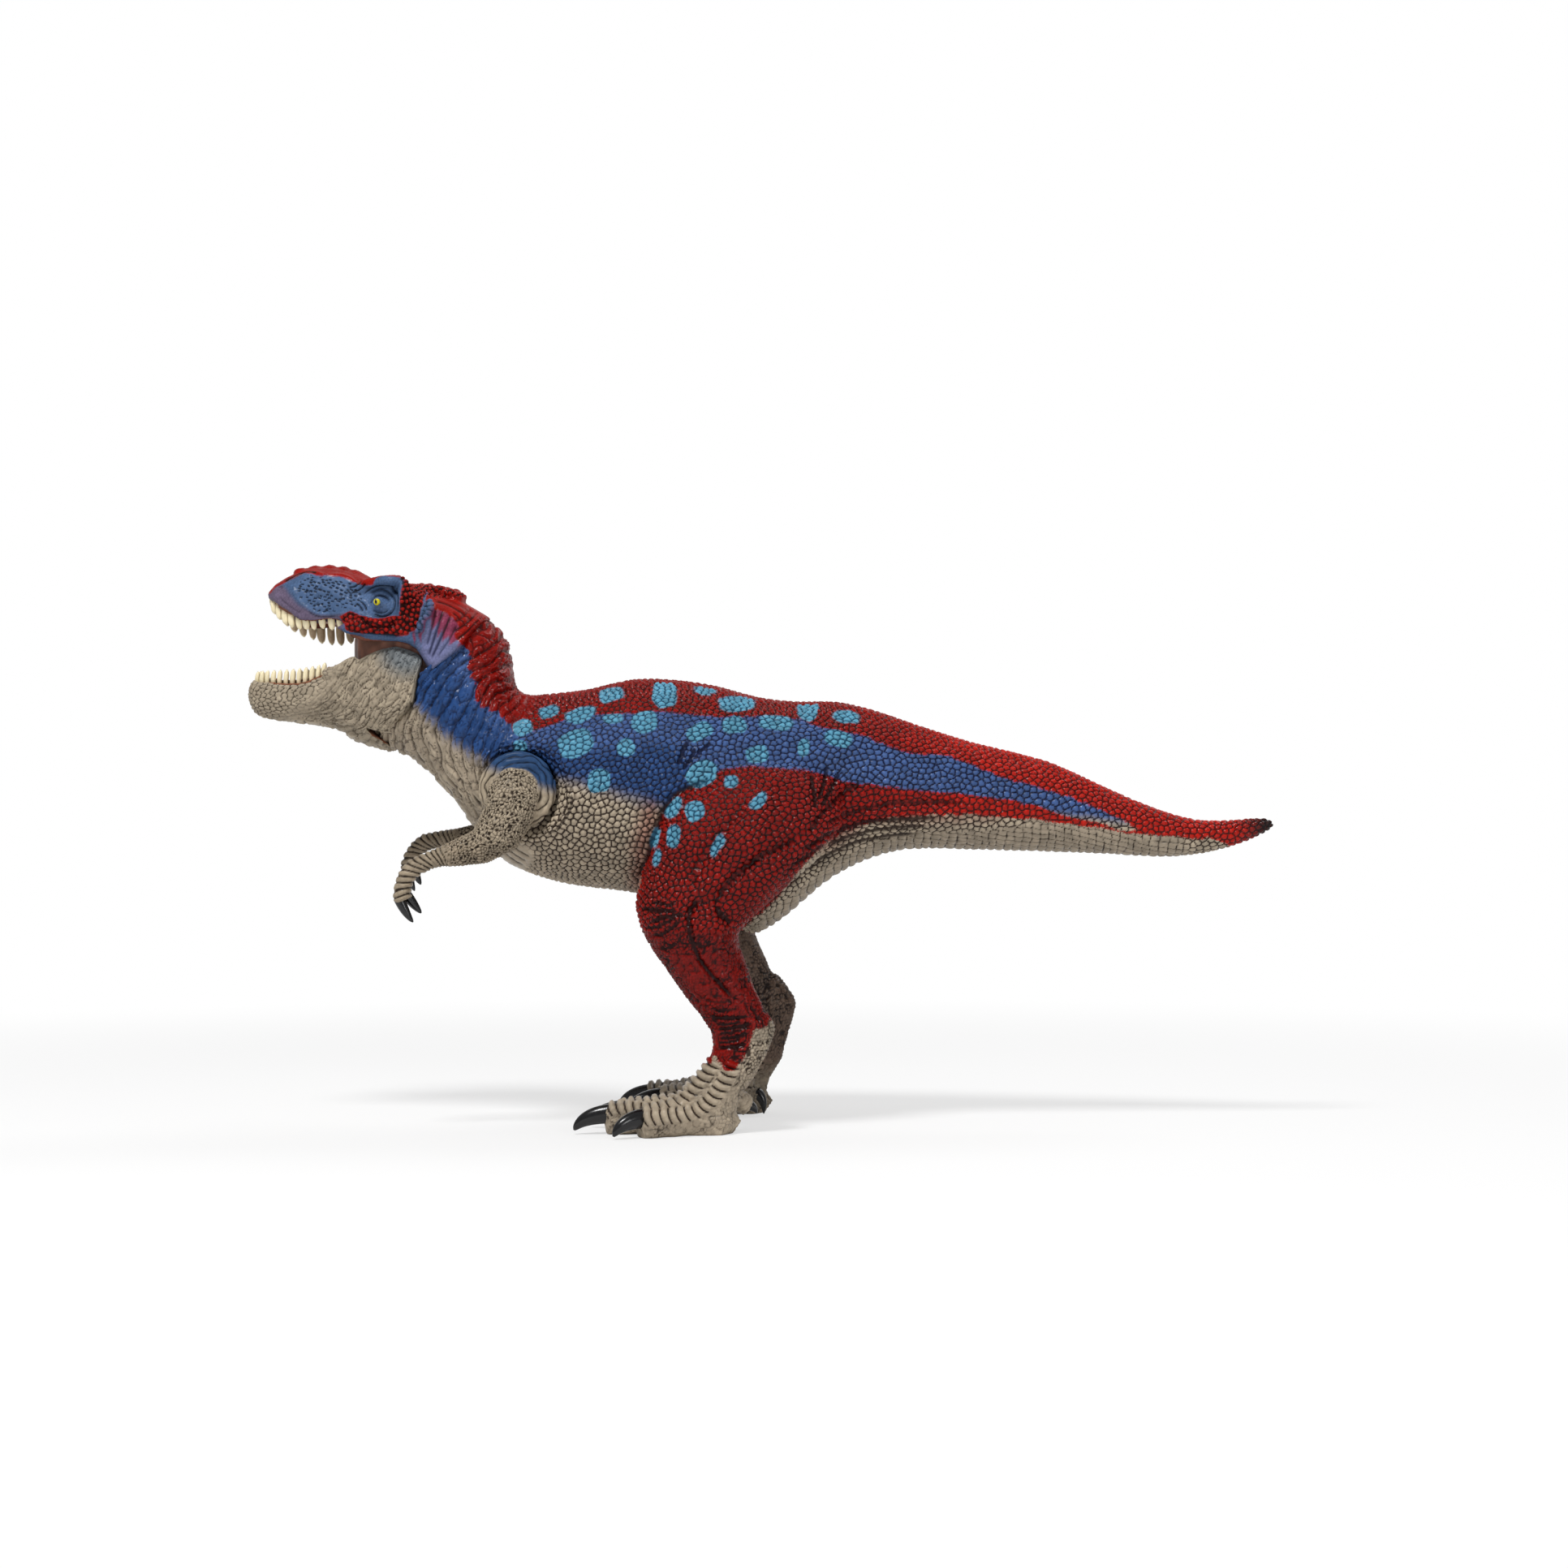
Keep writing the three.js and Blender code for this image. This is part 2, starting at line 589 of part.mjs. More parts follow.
/** Floor of the mouth between the lower teeth; grow makes the pocket for it. */
function mouthFloor(grow) {
  const inset = lowerToothInset + gumWidth / 2 + seatGap;
  const opening = grow > 0 ? mouthFloorDrop + overrun : 0;
  const ribs = mouthFloorRibs.map((i) => ribsOf(jawRibShares, { perSpan: 1 })[i]).map((rib) => {
    const surface = rib.a.y - mouthFloorDrop;
    return {
      a: new THREE.Vector2(rib.a.x + inset, surface + opening),
      b: new THREE.Vector2(rib.a.x + inset, surface - mouthFloorHeight),
      half: rib.half - inset,
      centre: 0,
      widest: 1 - (floorBulgeShare * mouthFloorHeight) / (mouthFloorHeight + opening),
    };
  });
  return { ribs, body: loft(ribs, { ...mouthFloorRound, sides: limbSides, grow }) };
}

/** The tongue lies along the floor of the mouth. */
function tongue(ribs) {
  const spine = ribs.slice(1, -1);
  return bar({
    path: spine.map((rib) => new THREE.Vector3(rib.a.x, 0, rib.a.y - tongueHeight / 4)),
    towards: spine.map((_, i) => tongueHeight * (i === 0 ? tongueRootShare : 1)),
    across: spine.map((rib, i) => rib.half * (i === 0 ? tongueRootShare : tongueSpreadShare)),
    reference: new THREE.Vector3(0, 0, 1),
    sides: limbSides,
    steps: tongueSteps,
  });
}

function makeJaw() {
  const pinEnd = lobeInner + pinReach + seatGap;
  return cutBy(jawBody(0), [
    mouthFloor(seatGap).body,
    gumStrip(lowerGumPath, seatGap),
    crossBar(jawPivotShares, pinRadius + runningGap, -pinEnd, pinEnd),
  ]);
}

function makeMouthFloor() {
  const { ribs, body } = mouthFloor(0);
  return body.add(tongue(ribs));
}

function makeLowerTeeth() {
  return joined(gumStrip(lowerGumPath, 0), teethOn(lowerGumPath, lowerTeethPerSide, lowerToothLength, 1));
}

// Skull and mouth

/** Roof of the mouth between the upper teeth; grow makes the recess for it. */
function palate(grow) {
  const inset = upperToothInset + gumWidth / 2 + seatGap;
  const opening = grow > 0 ? overrun : 0;
  const ribs = palateRibs.map((i) => ribsOf(headRibShares, { perSpan: 1 })[i]).map((rib) => ({
    a: new THREE.Vector2(rib.b.x + inset, rib.b.y + palateHeight),
    b: new THREE.Vector2(rib.b.x + inset, rib.b.y - opening),
    half: rib.half - inset,
    centre: 0,
    widest: (palateBulgeShare * palateHeight) / (palateHeight + opening),
  }));
  return loft(ribs, { ...palateRound, sides: limbSides, grow });
}

/** A row of bumps along the middle line. */
const bumpRow = (places, radii) => places.map(([x, z]) => ball({ centre: [x, 0, z], radii }, 1));

/** The skull's outside: snout ridge, crest, brows, cheek ridges, eyes in their sockets and nostrils. */
function skullForm() {
  const raised = [
    ...bumpRow(snoutBumpShares, snoutBumpRadiusShares),
    ...bumpRow(crestBumpShares, crestBumpRadiusShares),
    ...bothSides((side) => [...browShares, cheekShares].map((ridge) => ball(ridge, side))).flat(),
  ];
  const sunk = bothSides((side) => [
    roundBall(eyeSocketShares, eyeSocketRadiusShare, side),
    ball(nostrilShares, side),
  ]).flat();
  const bare = loft(ribsOf(headRibShares, { perSpan: 1 }), { ...skullRound, sides: headSides });
  return joined(cutBy(joined(bare, raised), sunk),
    bothSides((side) => roundBall(eyeShares, eyeRadiusShare, side)));
}

function makeHead() {
  const lobeRoom = onFigure(lobeRadiusShare) + seatGap;
  return cutBy(skullForm().subtract(behindSeam(-seatGap / 2)).add(headPeg(0)), [
    palate(seatGap),
    throatBlock(seatGap + seatGap),
    gumStrip(upperGumPath, seatGap),
    crossBar(jawPivotShares, lobeRoom, -figureLength, figureLength),
  ]);
}

/** Peg of the head that seats in the neck. */
function headPeg(grow) {
  const radius = onFigure(headPegShares.radius) + grow;
  const reach = onFigure(headPegShares.reach) + grow;
  const geometry = new THREE.CylinderGeometry(radius, radius, reach + overrun, barSides);
  geometry.rotateX(Math.PI / 2);
  geometry.translate(0, 0, (overrun - reach) / 2);
  geometry.rotateY(-seamTilt);
  geometry.translate(onFigure(seamShares[0]), 0, onFigure(seamShares[1]));
  return solid(geometry);
}

/** Fleshy block behind the mouth; grow makes the room that the head leaves for it. */
function throatBlock(grow) {
  const corners = mouthCoreShares.map(([x, z]) => new THREE.Vector2(onFigure(x), onFigure(z)));
  const middle = new THREE.Vector2();
  corners.forEach((corner) => middle.addScaledVector(corner, 1 / corners.length));
  const outline = corners.map((corner) => {
    const outwards = corner.clone().sub(middle).normalize();
    return corner.clone().addScaledVector(outwards, grow);
  });
  const half = lobeInner - seatGap + grow;
  return sidePlate(outline, -half, half);
}

function makeMouthCore() {
  return throatBlock(0)
    .add(palate(0))
    .subtract(behindSeam(-seatGap / 2))
    .subtract(crossBar(jawPivotShares, pinRadius + runningGap, -lobeInner, lobeInner));
}

function makeUpperTeeth() {
  return joined(gumStrip(upperGumPath, 0), teethOn(upperGumPath, upperTeethPerSide, upperToothLength, -1));
}

function makePin() {
  return crossBar(jawPivotShares, pinRadius, -(lobeInner + pinReach), lobeInner + pinReach);
}

// Legs

/** A claw: a horn from its base over its bend to its tip. */
function claw(places, radius) {
  return bar({
    path: places,
    towards: [1, clawBendShares.top, clawTipShare].map((part) => part * radius),
    across: [1, clawBendShares.side, clawTipShare].map((part) => part * radius),
    reference: new THREE.Vector3(0, 1, 0),
    sides: hornSides,
    steps: clawSteps,
  });
}

/** A toe with its knuckles and claw. */
function toe({ start, end, bend, tip }, side, shift) {
  const from = placed(start, side).add(shift);
  const to = placed(end, side).add(shift);
  const knuckles = toeRadiusShares.map((_, i) => from.clone().lerp(to, i / (toeRadiusShares.length - 1)));
  const radii = toeRadiusShares.map(onFigure);
  const body = bar({
    path: knuckles,
    towards: radii,
    across: radii,
    reference: new THREE.Vector3(0, 0, 1),
    sides: toeSides,
    steps: toeSteps,
  });
  const root = from.clone().lerp(to, clawRootShare).add(new THREE.Vector3(0, 0, radii.at(-1) / 2));
  const horn = [bend, tip].map((place) => placed(place, side).add(shift));
  return body.add(claw([root, ...horn], onFigure(clawRadiusShare)));
}

/** A whole leg; back is how far its foot stands behind the left one. */
function makeLeg(side, back, grow = 0) {
  const hipHeight = onFigure(legRibShares[1][1]);
  const lean = (height) => back * Math.max(0, 1 - height / hipHeight);
  const shift = new THREE.Vector3(back, 0, 0);
  const ribs = ribsOf(legRibShares, { side, lean, perSpan: 1 });
  const limb = loft(ribs, { ...legRound, sides: legSides, grow });
  if (grow > 0) {
    return limb;
  }
  const onFoot = (places) => places.map((place) => placed(place, side).add(shift));
  const hindToe = bar({
    path: onFoot(hindToeShares),
    towards: hindToeRadiusShares.map(onFigure),
    across: hindToeRadiusShares.map(onFigure),
    reference: new THREE.Vector3(0, 0, 1),
    sides: toeSides,
    steps: toeSteps,
  });
  const foot = [
    ball(solePadShares, side, shift),
    ...[middleToeShares, outerToeShares, innerToeShares].map((shares) => toe(shares, side, shift)),
    hindToe,
    claw(onFoot(hindClawShares), onFigure(hindClawRadiusShare)),
  ];
  return joined(limb, foot).subtract(underGround());
}

// Arms

/** A swivel's round bar at the shoulder, between two distances out from the middle plane. */
function shoulderBar(side, radius, from, to) {
  return side < 0
    ? crossBar(shoulderShares, radius, -to, -from)
    : crossBar(shoulderShares, radius, from, to);
}

function makeArm(side) {
  const limb = loft(ribsOf(armRibShares, { side, perSpan: 1 }), { ...armRound, sides: limbSides });
  const claws = fingerClawShares.map((places) => {
    const horn = places.map((place) => placed(place, side));
    return claw(horn, onFigure(fingerClawRadiusShare));
  });
  const inside = shoulderFace + armStandOff;
  const chest = block(new THREE.Vector3(-figureLength, -inside, 0),
    new THREE.Vector3(0, inside, figureLength));
  const root = shoulderBar(side, shoulderPocketRadius - seatGap, shoulderFace + seatGap, inside + overrun);
  const peg = shoulderBar(side, shoulderPegRadius, shoulderFace - shoulderPegLength, inside + overrun);
  return joined(limb, claws).subtract(chest).add(limb.intersect(root)).add(peg);
}

/** Room that the trunk leaves for an arm's root and its peg. */
function shoulderPocket(side) {
  const far = onFigure(trunkRibShares[10][4]) + overrun;
  const hole = shoulderBar(side, shoulderPegRadius + runningGap,
    shoulderFace - shoulderPegLength - seatGap, shoulderFace + overrun);
  return shoulderBar(side, shoulderPocketRadius, shoulderFace, far).add(hole);
}

// Trunk, neck and tail

function makeTrunk() {
  const body = loft(ribsOf(trunkRibShares), { ...trunkRound, sides: trunkSides });
  return cutBy(body.intersect(behindSeam(seatGap / 2)), [
    jawBody(seatGap),
    headPeg(seatGap),
    ...bothSides(shoulderPocket),
    makeLeg(-1, 0, seatGap),
    makeLeg(1, stepBack, seatGap),
  ]);
}

// Materials

const satin = 0.5;
const glossy = 0.4;
const vinyl = (color, roughness) => new THREE.MeshStandardMaterial({ color, roughness, metalness: 0 });
const hide = vinyl('#8f8a7c', satin);
const redHide = vinyl('#8c1f18', satin);
const blueHide = vinyl('#4a5f86', satin);
const flesh = vinyl('#8c5a48', satin);
const ivory = vinyl('#e4d6b4', glossy);
const pinPlastic = vinyl('#c9c4b8', glossy);

/** A named mesh of a solid, turned about its own origin where it has one. */
function meshOf(name, body, material, origin = new THREE.Vector3(), turn = 0) {
  const { vertProperties, triVerts } = body.getMesh();
  const geometry = new THREE.BufferGeometry();
  geometry.setAttribute('position', new THREE.BufferAttribute(new Float32Array(vertProperties), 3));
  geometry.setIndex(new THREE.BufferAttribute(new Uint32Array(triVerts), 1));
  geometry.translate(-origin.x, -origin.y, -origin.z);
  geometry.computeVertexNormals();
  const mesh = new THREE.Mesh(geometry, material);
  mesh.name = name;
  mesh.position.copy(origin);
  mesh.rotation.y = turn;
  return mesh;
}

const pivot = new THREE.Vector3(onFigure(jawPivotShares[0]), 0, onFigure(jawPivotShares[1]));
const shoulder = new THREE.Vector3(onFigure(shoulderShares[0]), 0, onFigure(shoulderShares[1]));

const skull = new THREE.Group();
skull.add(
  meshOf('head', makeHead(), blueHide),
  meshOf('mouth_core', makeMouthCore(), flesh),
  meshOf('upper_teeth', makeUpperTeeth(), ivory),
  meshOf('jaw_pivot_pin', makePin(), pinPlastic),
);

const lowerJaw = new THREE.Group();
lowerJaw.add(
  meshOf('lower_jaw', makeJaw(), hide, pivot),
  meshOf('lower_mouth_lining', makeMouthFloor(), flesh, pivot),
  meshOf('lower_teeth', makeLowerTeeth(), ivory, pivot),
);

const limbs = new THREE.Group();
limbs.add(
  meshOf('left_arm', makeArm(-1), hide, shoulder),
  meshOf('right_arm', makeArm(1), hide, shoulder, rightArmRaise),
  meshOf('left_leg', makeLeg(-1, 0), redHide),
  meshOf('right_leg', makeLeg(1, stepBack), redHide),
);

const figure = new THREE.Group();
figure.add(meshOf('trunk', makeTrunk(), redHide), skull, lowerJaw, limbs);

export default figure;
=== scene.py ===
import itertools
import json
import logging
import math
from dataclasses import dataclass, field
from enum import Enum, IntEnum
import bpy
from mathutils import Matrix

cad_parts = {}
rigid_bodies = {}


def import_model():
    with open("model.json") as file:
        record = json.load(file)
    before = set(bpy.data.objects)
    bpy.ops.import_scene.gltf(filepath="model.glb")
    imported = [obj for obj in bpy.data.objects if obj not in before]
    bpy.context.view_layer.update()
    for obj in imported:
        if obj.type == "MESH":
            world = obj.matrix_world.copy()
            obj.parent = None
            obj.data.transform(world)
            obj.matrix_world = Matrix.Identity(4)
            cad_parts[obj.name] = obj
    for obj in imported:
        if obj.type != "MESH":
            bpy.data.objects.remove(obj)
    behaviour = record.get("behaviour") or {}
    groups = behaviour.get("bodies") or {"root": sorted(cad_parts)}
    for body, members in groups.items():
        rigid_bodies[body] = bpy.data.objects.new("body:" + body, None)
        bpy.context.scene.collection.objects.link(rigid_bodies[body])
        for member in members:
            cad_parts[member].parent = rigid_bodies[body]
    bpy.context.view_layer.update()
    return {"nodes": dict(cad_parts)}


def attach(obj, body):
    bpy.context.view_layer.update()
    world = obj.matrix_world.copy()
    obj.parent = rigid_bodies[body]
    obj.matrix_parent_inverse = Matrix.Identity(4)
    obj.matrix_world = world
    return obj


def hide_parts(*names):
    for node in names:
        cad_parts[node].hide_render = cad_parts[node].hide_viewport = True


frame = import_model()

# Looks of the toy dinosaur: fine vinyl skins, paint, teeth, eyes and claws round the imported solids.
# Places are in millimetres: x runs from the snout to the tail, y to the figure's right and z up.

from types import SimpleNamespace

import bmesh
import bpy
import numpy as np
from mathutils import Vector
from mathutils.kdtree import KDTree

log = logging.getLogger("toy_dinosaur")

MM = 0.001
TINY = 1e-9
STEP_BACK = 8.0
HIP_HEIGHT = 96.9
UNPAINTED = -9.0
SIDES = ((-1, "left"), (1, "right"))
Array = np.ndarray
Curve = tuple[tuple[float, float], ...]
Place = tuple[float, float, float]
Pad = tuple[Place, Place]
Colour = tuple[float, float, float, float]
Form = bmesh.types.BMesh
Material = bpy.types.Material
Piece = bpy.types.Object
Socket = bpy.types.NodeSocket


class Seed(IntEnum):
    """Starts of the random draws; a pattern of several waves takes the numbers that follow too."""

    BODY_SCALES = 5
    SHANK_SCALES = 6
    NECK_FOLDS = 11
    NECK_GRAIN = 17
    BODY_EDGES = 18
    HEAD_BEADS = 21
    HEAD_PITS = 22
    HEAD_GRAIN = 23
    HEAD_EDGES = 24
    NECK_STREAKS = 26
    HEAD_BRUSHING = 27
    HEAD_SCRATCHES = 28
    LINING = 31
    GUM = 32
    JAW_FOLDS = 41
    JAW_CELLS = 42
    JAW_GRAIN = 43
    ARM_CELLS = 61
    ARM_PORES = 62
    WRIST_RINGS = 63
    ARM_WARP = 65
    COLLAR_BROAD = 68
    COLLAR_FINE = 69
    TAIL_BEND = 71
    SHANK_PATCHES = 72
    SHANK_SPECKS = 73
    SHANK_WORMS = 74
    TAIL_LENGTHWISE = 75
    TAIL_CROSSWISE = 76
    SHIN_FADE = 77


def linear(hex_colour: str) -> Colour:
    """Turns an sRGB hex value, such as #ff8800, into linear red, green, blue and alpha."""
    channels = [int(hex_colour[i : i + 2], 16) / 255 for i in (1, 3, 5)]
    return (*(c / 12.92 if c <= 0.04045 else ((c + 0.055) / 1.055) ** 2.4 for c in channels), 1.0)


# Side view


@dataclass(frozen=True)
class SideView:
    """Stencil that lays points of the figure flat, as a maker sprays it from the side."""

    centre_x: float = 6.26
    centre_z: float = 75.0
    distance: float = 700.0

    def flat(self, points: Array) -> Array:
        """Lays points flat.

        Args:
            points: places in millimetres.

        Returns:
            Two columns: along the figure and up.
        """
        reach = (self.distance - np.abs(points[:, 1])) / self.distance
        across = self.centre_x + (points[:, 0] - self.centre_x) / reach
        up = self.centre_z + (points[:, 2] - self.centre_z) / reach
        return np.column_stack([across, up])


STENCIL = SideView()


def smooth_curve(places: Curve, steps: int = 5) -> Array:
    """Rounds a given curve.

    Args:
        places: its points.
        steps: pieces between neighbouring points.

    Returns:
        More points on a smooth curve through them.
    """
    points = np.array(places, float)
    if len(points) < 3:
        return points
    padded = np.vstack([2 * points[0] - points[1], points, 2 * points[-1] - points[-2]])
    rows = []
    for i in range(1, len(padded) - 2):
        a, b, c, d = padded[i - 1 : i + 3]
        square, cube = 2 * a - 5 * b + 4 * c - d, 3 * b - a - 3 * c + d
        for t in np.arange(steps) / steps:
            rows.append(0.5 * (2 * b + (c - a) * t + square * t**2 + cube * t**3))
    rows.append(points[-1])
    return np.array(rows)


def along(path: Array, places: Array) -> tuple[Array, Array, Array]:
    """Measures places against a curve.

    Args:
        path: the curve's points, in two or three columns.
        places: what is measured.

    Returns:
        Distance from the curve, length along it, and which side, where the curve is flat.
    """
    best = np.full(len(places), np.inf)
    arc, side = np.zeros(len(places)), np.zeros(len(places))
    start = 0.0
    for a, b in zip(path[:-1], path[1:]):
        step = b - a
        length = float(np.linalg.norm(step))
        if length < TINY:
            continue
        t = np.clip((places - a) @ step / length**2, 0, 1)
        off = places - (a + t[:, None] * step)
        distance = np.linalg.norm(off, axis=1)
        closer = distance < best
        best = np.where(closer, distance, best)
        arc = np.where(closer, start + t * length, arc)
        if path.shape[1] == 2:
            side = np.where(closer, np.sign(step[0] * off[:, 1] - step[1] * off[:, 0]), side)
        start += length
    return best, arc, side


def depth_in(outline: Curve, flat: Array) -> Array:
    """How deep places lie inside a rounded outline.

    Args:
        outline: corners of the region.
        flat: places in the side view.

    Returns:
        Millimetres, negative outside.
    """
    closed = smooth_curve((*outline, outline[0]))
    distance, _, _ = along(closed, flat)
    inside = np.zeros(len(flat), bool)
    for a, b in zip(closed[:-1], closed[1:]):
        crosses = (a[1] > flat[:, 1]) != (b[1] > flat[:, 1])
        rise = b[1] - a[1] if abs(b[1] - a[1]) > TINY else TINY
        inside ^= crosses & (flat[:, 0] < (b[0] - a[0]) * (flat[:, 1] - a[1]) / rise + a[0])
    return np.where(inside, distance, -distance)


def within(places: Array, low: Array, high: Array) -> Array:
    """Numbers of the places that lie between two corners."""
    return np.flatnonzero(np.all((places > low) & (places < high), axis=1))


def ease(value: Array, low: float, high: float) -> Array:
    """Smooth step from 0, where the value is low, to 1, where it is high."""
    t = np.clip((value - low) / (high - low), 0, 1)
    return t * t * (3 - 2 * t)


def bell(distance: Array, width: float) -> Array:
    """Bell curve: 1 at no distance, and about a third at the width."""
    return np.exp(-((distance / width) ** 2))


def lump(places: Array, centre: tuple[float, ...], radii: tuple[float, ...] | float) -> Array:
    """How deep places lie in an oval with this centre and these radii: 1 in its middle, 0 outside."""
    away = (places - np.array(centre)) / np.array(radii)
    return np.clip(1 - np.sum(away**2, axis=1), 0, 1)


def cos_sin(degrees: float) -> tuple[float, float]:
    """Cosine and sine of an angle in degrees."""
    return math.cos(math.radians(degrees)), math.sin(math.radians(degrees))


def oval_axes(
    flat: Array, centre: tuple[float, float], radii: tuple[float, float], turn: float
) -> tuple[Array, Array]:
    """Places along the length and across an oval, as shares of its radii; the turn is in degrees."""
    shift = flat - np.array(centre)
    c, s = cos_sin(turn)
    return (shift[:, 0] * c + shift[:, 1] * s) / radii[0], (shift[:, 1] * c - shift[:, 0] * s) / radii[1]


class Ripple:
    """Smooth unevenness from a lattice of seeded random values."""

    SIZE = 32

    def __init__(self, seed: int) -> None:
        """Draws the lattice."""
        self.lattice = np.random.default_rng(seed).random((self.SIZE,) * 3)

    def at(self, points: Array, span: float) -> Array:
        """Reads the unevenness.

        Args:
            points: places in millimetres.
            span: size of one wave, in millimetres.

        Returns:
            Values between -1 and 1.
        """
        scaled = points / span
        cell = np.floor(scaled).astype(int)
        share = scaled - cell
        share = share * share * (3 - 2 * share)
        total = np.zeros(len(points))
        for corner in itertools.product((0, 1), repeat=3):
            index = (cell + corner) % self.SIZE
            weight = np.prod(np.where(np.array(corner) == 1, share, 1 - share), axis=1)
            total += self.lattice[index[:, 0], index[:, 1], index[:, 2]] * weight
        return total * 2 - 1


def wobble(points: Array, seed: int, columns: int, span: float, size: float) -> Array:
    """Uneven shifts in so many columns, with waves of this span and up to this size, in millimetres."""
    return np.column_stack([Ripple(seed + k).at(points, span) for k in range(columns)]) * size


# Modelling


def keep(mesh: bpy.types.Mesh, name: str, values: Array) -> None:
    """Keeps a value at each vertex of a mesh for the material."""
    layer = mesh.attributes.get(name) or mesh.attributes.new(name, "FLOAT", "POINT")
    layer.data.foreach_set("value", np.asarray(values, np.float32))


class Skin:
    """A fine closed surface that is pressed, folded and painted like a master pattern."""

    def __init__(self, nodes: tuple[str, ...], voxel: float, grow: float = 0.0, pads: tuple[Pad, ...] = ()) -> None:
        """Takes the outer surface of CAD nodes.

        Args:
            nodes: names of the nodes that it stands for.
            voxel: fineness in millimetres.
            grow: how far the nodes swell first, so that seated ones close up.
            pads: middles and radii of soft lumps that are worked in.
        """
        self.nodes = nodes
        form = bmesh.new()
        for name in nodes:
            form.from_mesh(frame["nodes"][name].data)
        bmesh.ops.remove_doubles(form, verts=form.verts, dist=1e-6)
        form.normal_update()
        for vert in form.verts:
            vert.co += vert.normal * grow * MM
        for place, radii in pads:
            for vert in bmesh.ops.create_icosphere(form, subdivisions=4, radius=MM)["verts"]:
                vert.co = Vector(place) * MM + vert.co * Vector(radii)
        self.mesh = self.remeshed(form, voxel)
        count = len(self.mesh.vertices)
        raw = np.empty(count * 3, np.float32)
        self.mesh.vertices.foreach_get("co", raw)
        self.co = raw.reshape(-1, 3).astype(float) / MM
        ends = np.empty(len(self.mesh.edges) * 2, np.int32)
        self.mesh.edges.foreach_get("vertices", ends)
        self.ends = ends.reshape(-1, 2)
        self.links = np.maximum(np.bincount(self.ends.ravel(), minlength=count), 1)

    @staticmethod
    def remeshed(form: Form, voxel: float) -> bpy.types.Mesh:
        """Joins the solids of a form into one surface with this fineness in millimetres, and frees the form."""
        mesh = bpy.data.meshes.new("form")
        form.to_mesh(mesh)
        form.free()
        carrier = bpy.data.objects.new("form", mesh)
        bpy.context.scene.collection.objects.link(carrier)
        remesh = carrier.modifiers.new("fine", "REMESH")
        remesh.mode = "VOXEL"
        remesh.voxel_size = voxel * MM
        graph = bpy.context.evaluated_depsgraph_get()
        fine = bpy.data.meshes.new_from_object(carrier.evaluated_get(graph))
        bpy.data.objects.remove(carrier)
        bpy.data.meshes.remove(mesh)
        return fine

    def blurred(self, values: Array) -> Array:
        """Mean of each vertex's neighbours, for one row of values for each vertex."""
        a, b = self.ends[:, 0], self.ends[:, 1]
        columns = values.reshape(len(values), -1)
        sums = [
            np.bincount(a, column[b], len(values)) + np.bincount(b, column[a], len(values)) for column in columns.T
        ]
        return (np.column_stack(sums) / self.links[:, None]).reshape(values.shape)

    def even(self, rounds: int, strength: Array | float = 1.0) -> None:
        """Takes facets out and keeps the bulk.

        Args:
            rounds: how many times the vertices move to the mean of their neighbours.
            strength: how much they move, from 0 to 1.
        """
        before = self.co.copy()
        amount = np.broadcast_to(np.asarray(strength, float), len(self.co))[:, None]
        for _ in range(rounds):
            self.co += (self.blurred(self.co) - self.co) * amount
        normals = self.normals()
        lost = np.einsum("ij,ij->i", before - self.co, normals)
        for _ in range(rounds):
            lost = self.blurred(lost)
        self.co += normals * lost[:, None]

    def normals(self) -> Array:
        """Outward directions at the vertices."""
        self.store()
        raw = np.empty(len(self.co) * 3, np.float32)
        self.mesh.vertex_normals.foreach_get("vector", raw)
        return raw.reshape(-1, 3).astype(float)

    def store(self) -> None:
        """Writes the places back to the mesh."""
        self.mesh.vertices.foreach_set("co", (self.co * MM).astype(np.float32).ravel())
        self.mesh.update()

    def push(self, height: Array) -> None:
        """Moves the vertices out along their normals, each by its height in millimetres."""
        self.co += self.normals() * height[:, None]

    def paint(self, name: str, values: Array) -> None:
        """Keeps a value at each vertex for the material."""
        keep(self.mesh, name, values)

    def finish(self, name: str, body: str, slot: str, material: Material) -> Piece:
        """Makes the piece.

        Args:
            name: of the piece.
            body: CAD body that it rides on.
            slot: the record's material slot; not used.
            material: its look.

        Returns:
            The object.
        """
        self.store()
        self.mesh.name = name
        self.mesh.polygons.foreach_set("use_smooth", np.ones(len(self.mesh.polygons), bool))
        self.mesh.materials.clear()
        self.mesh.materials.append(material)
        piece = bpy.data.objects.new(name, self.mesh)
        bpy.context.scene.collection.objects.link(piece)
        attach(piece, body)
        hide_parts(*self.nodes)
        log.info("%s: %d faces on %s", name, len(self.mesh.polygons), body)
        return piece


@dataclass(frozen=True)
class Stroke:
    """A groove or ridge drawn in the side view; wash is how much dark paint stays in it."""

    places: Curve
    height: float
    width: float = 0.7
    wash: float = 0.9

    def cover(self, flat: Array) -> Array:
        """How strongly the stroke is felt, from 0 to 1; open ends fade out."""
        path = smooth_curve(self.places)
        cover = np.zeros(len(flat))
        margin = 3 * self.width
        near = within(flat, path.min(0) - margin, path.max(0) + margin)
        distance, arc, _ = along(path, flat[near])
        total = np.linalg.norm(np.diff(path, axis=0), axis=1).sum()
        closed = math.dist(self.places[0], self.places[-1]) < 0.01
        fade = 1.0 if closed else ease(arc, -0.01, total / 6) * ease(total - arc, -0.01, total / 6)
        cover[near] = bell(distance, self.width) * fade
        return cover


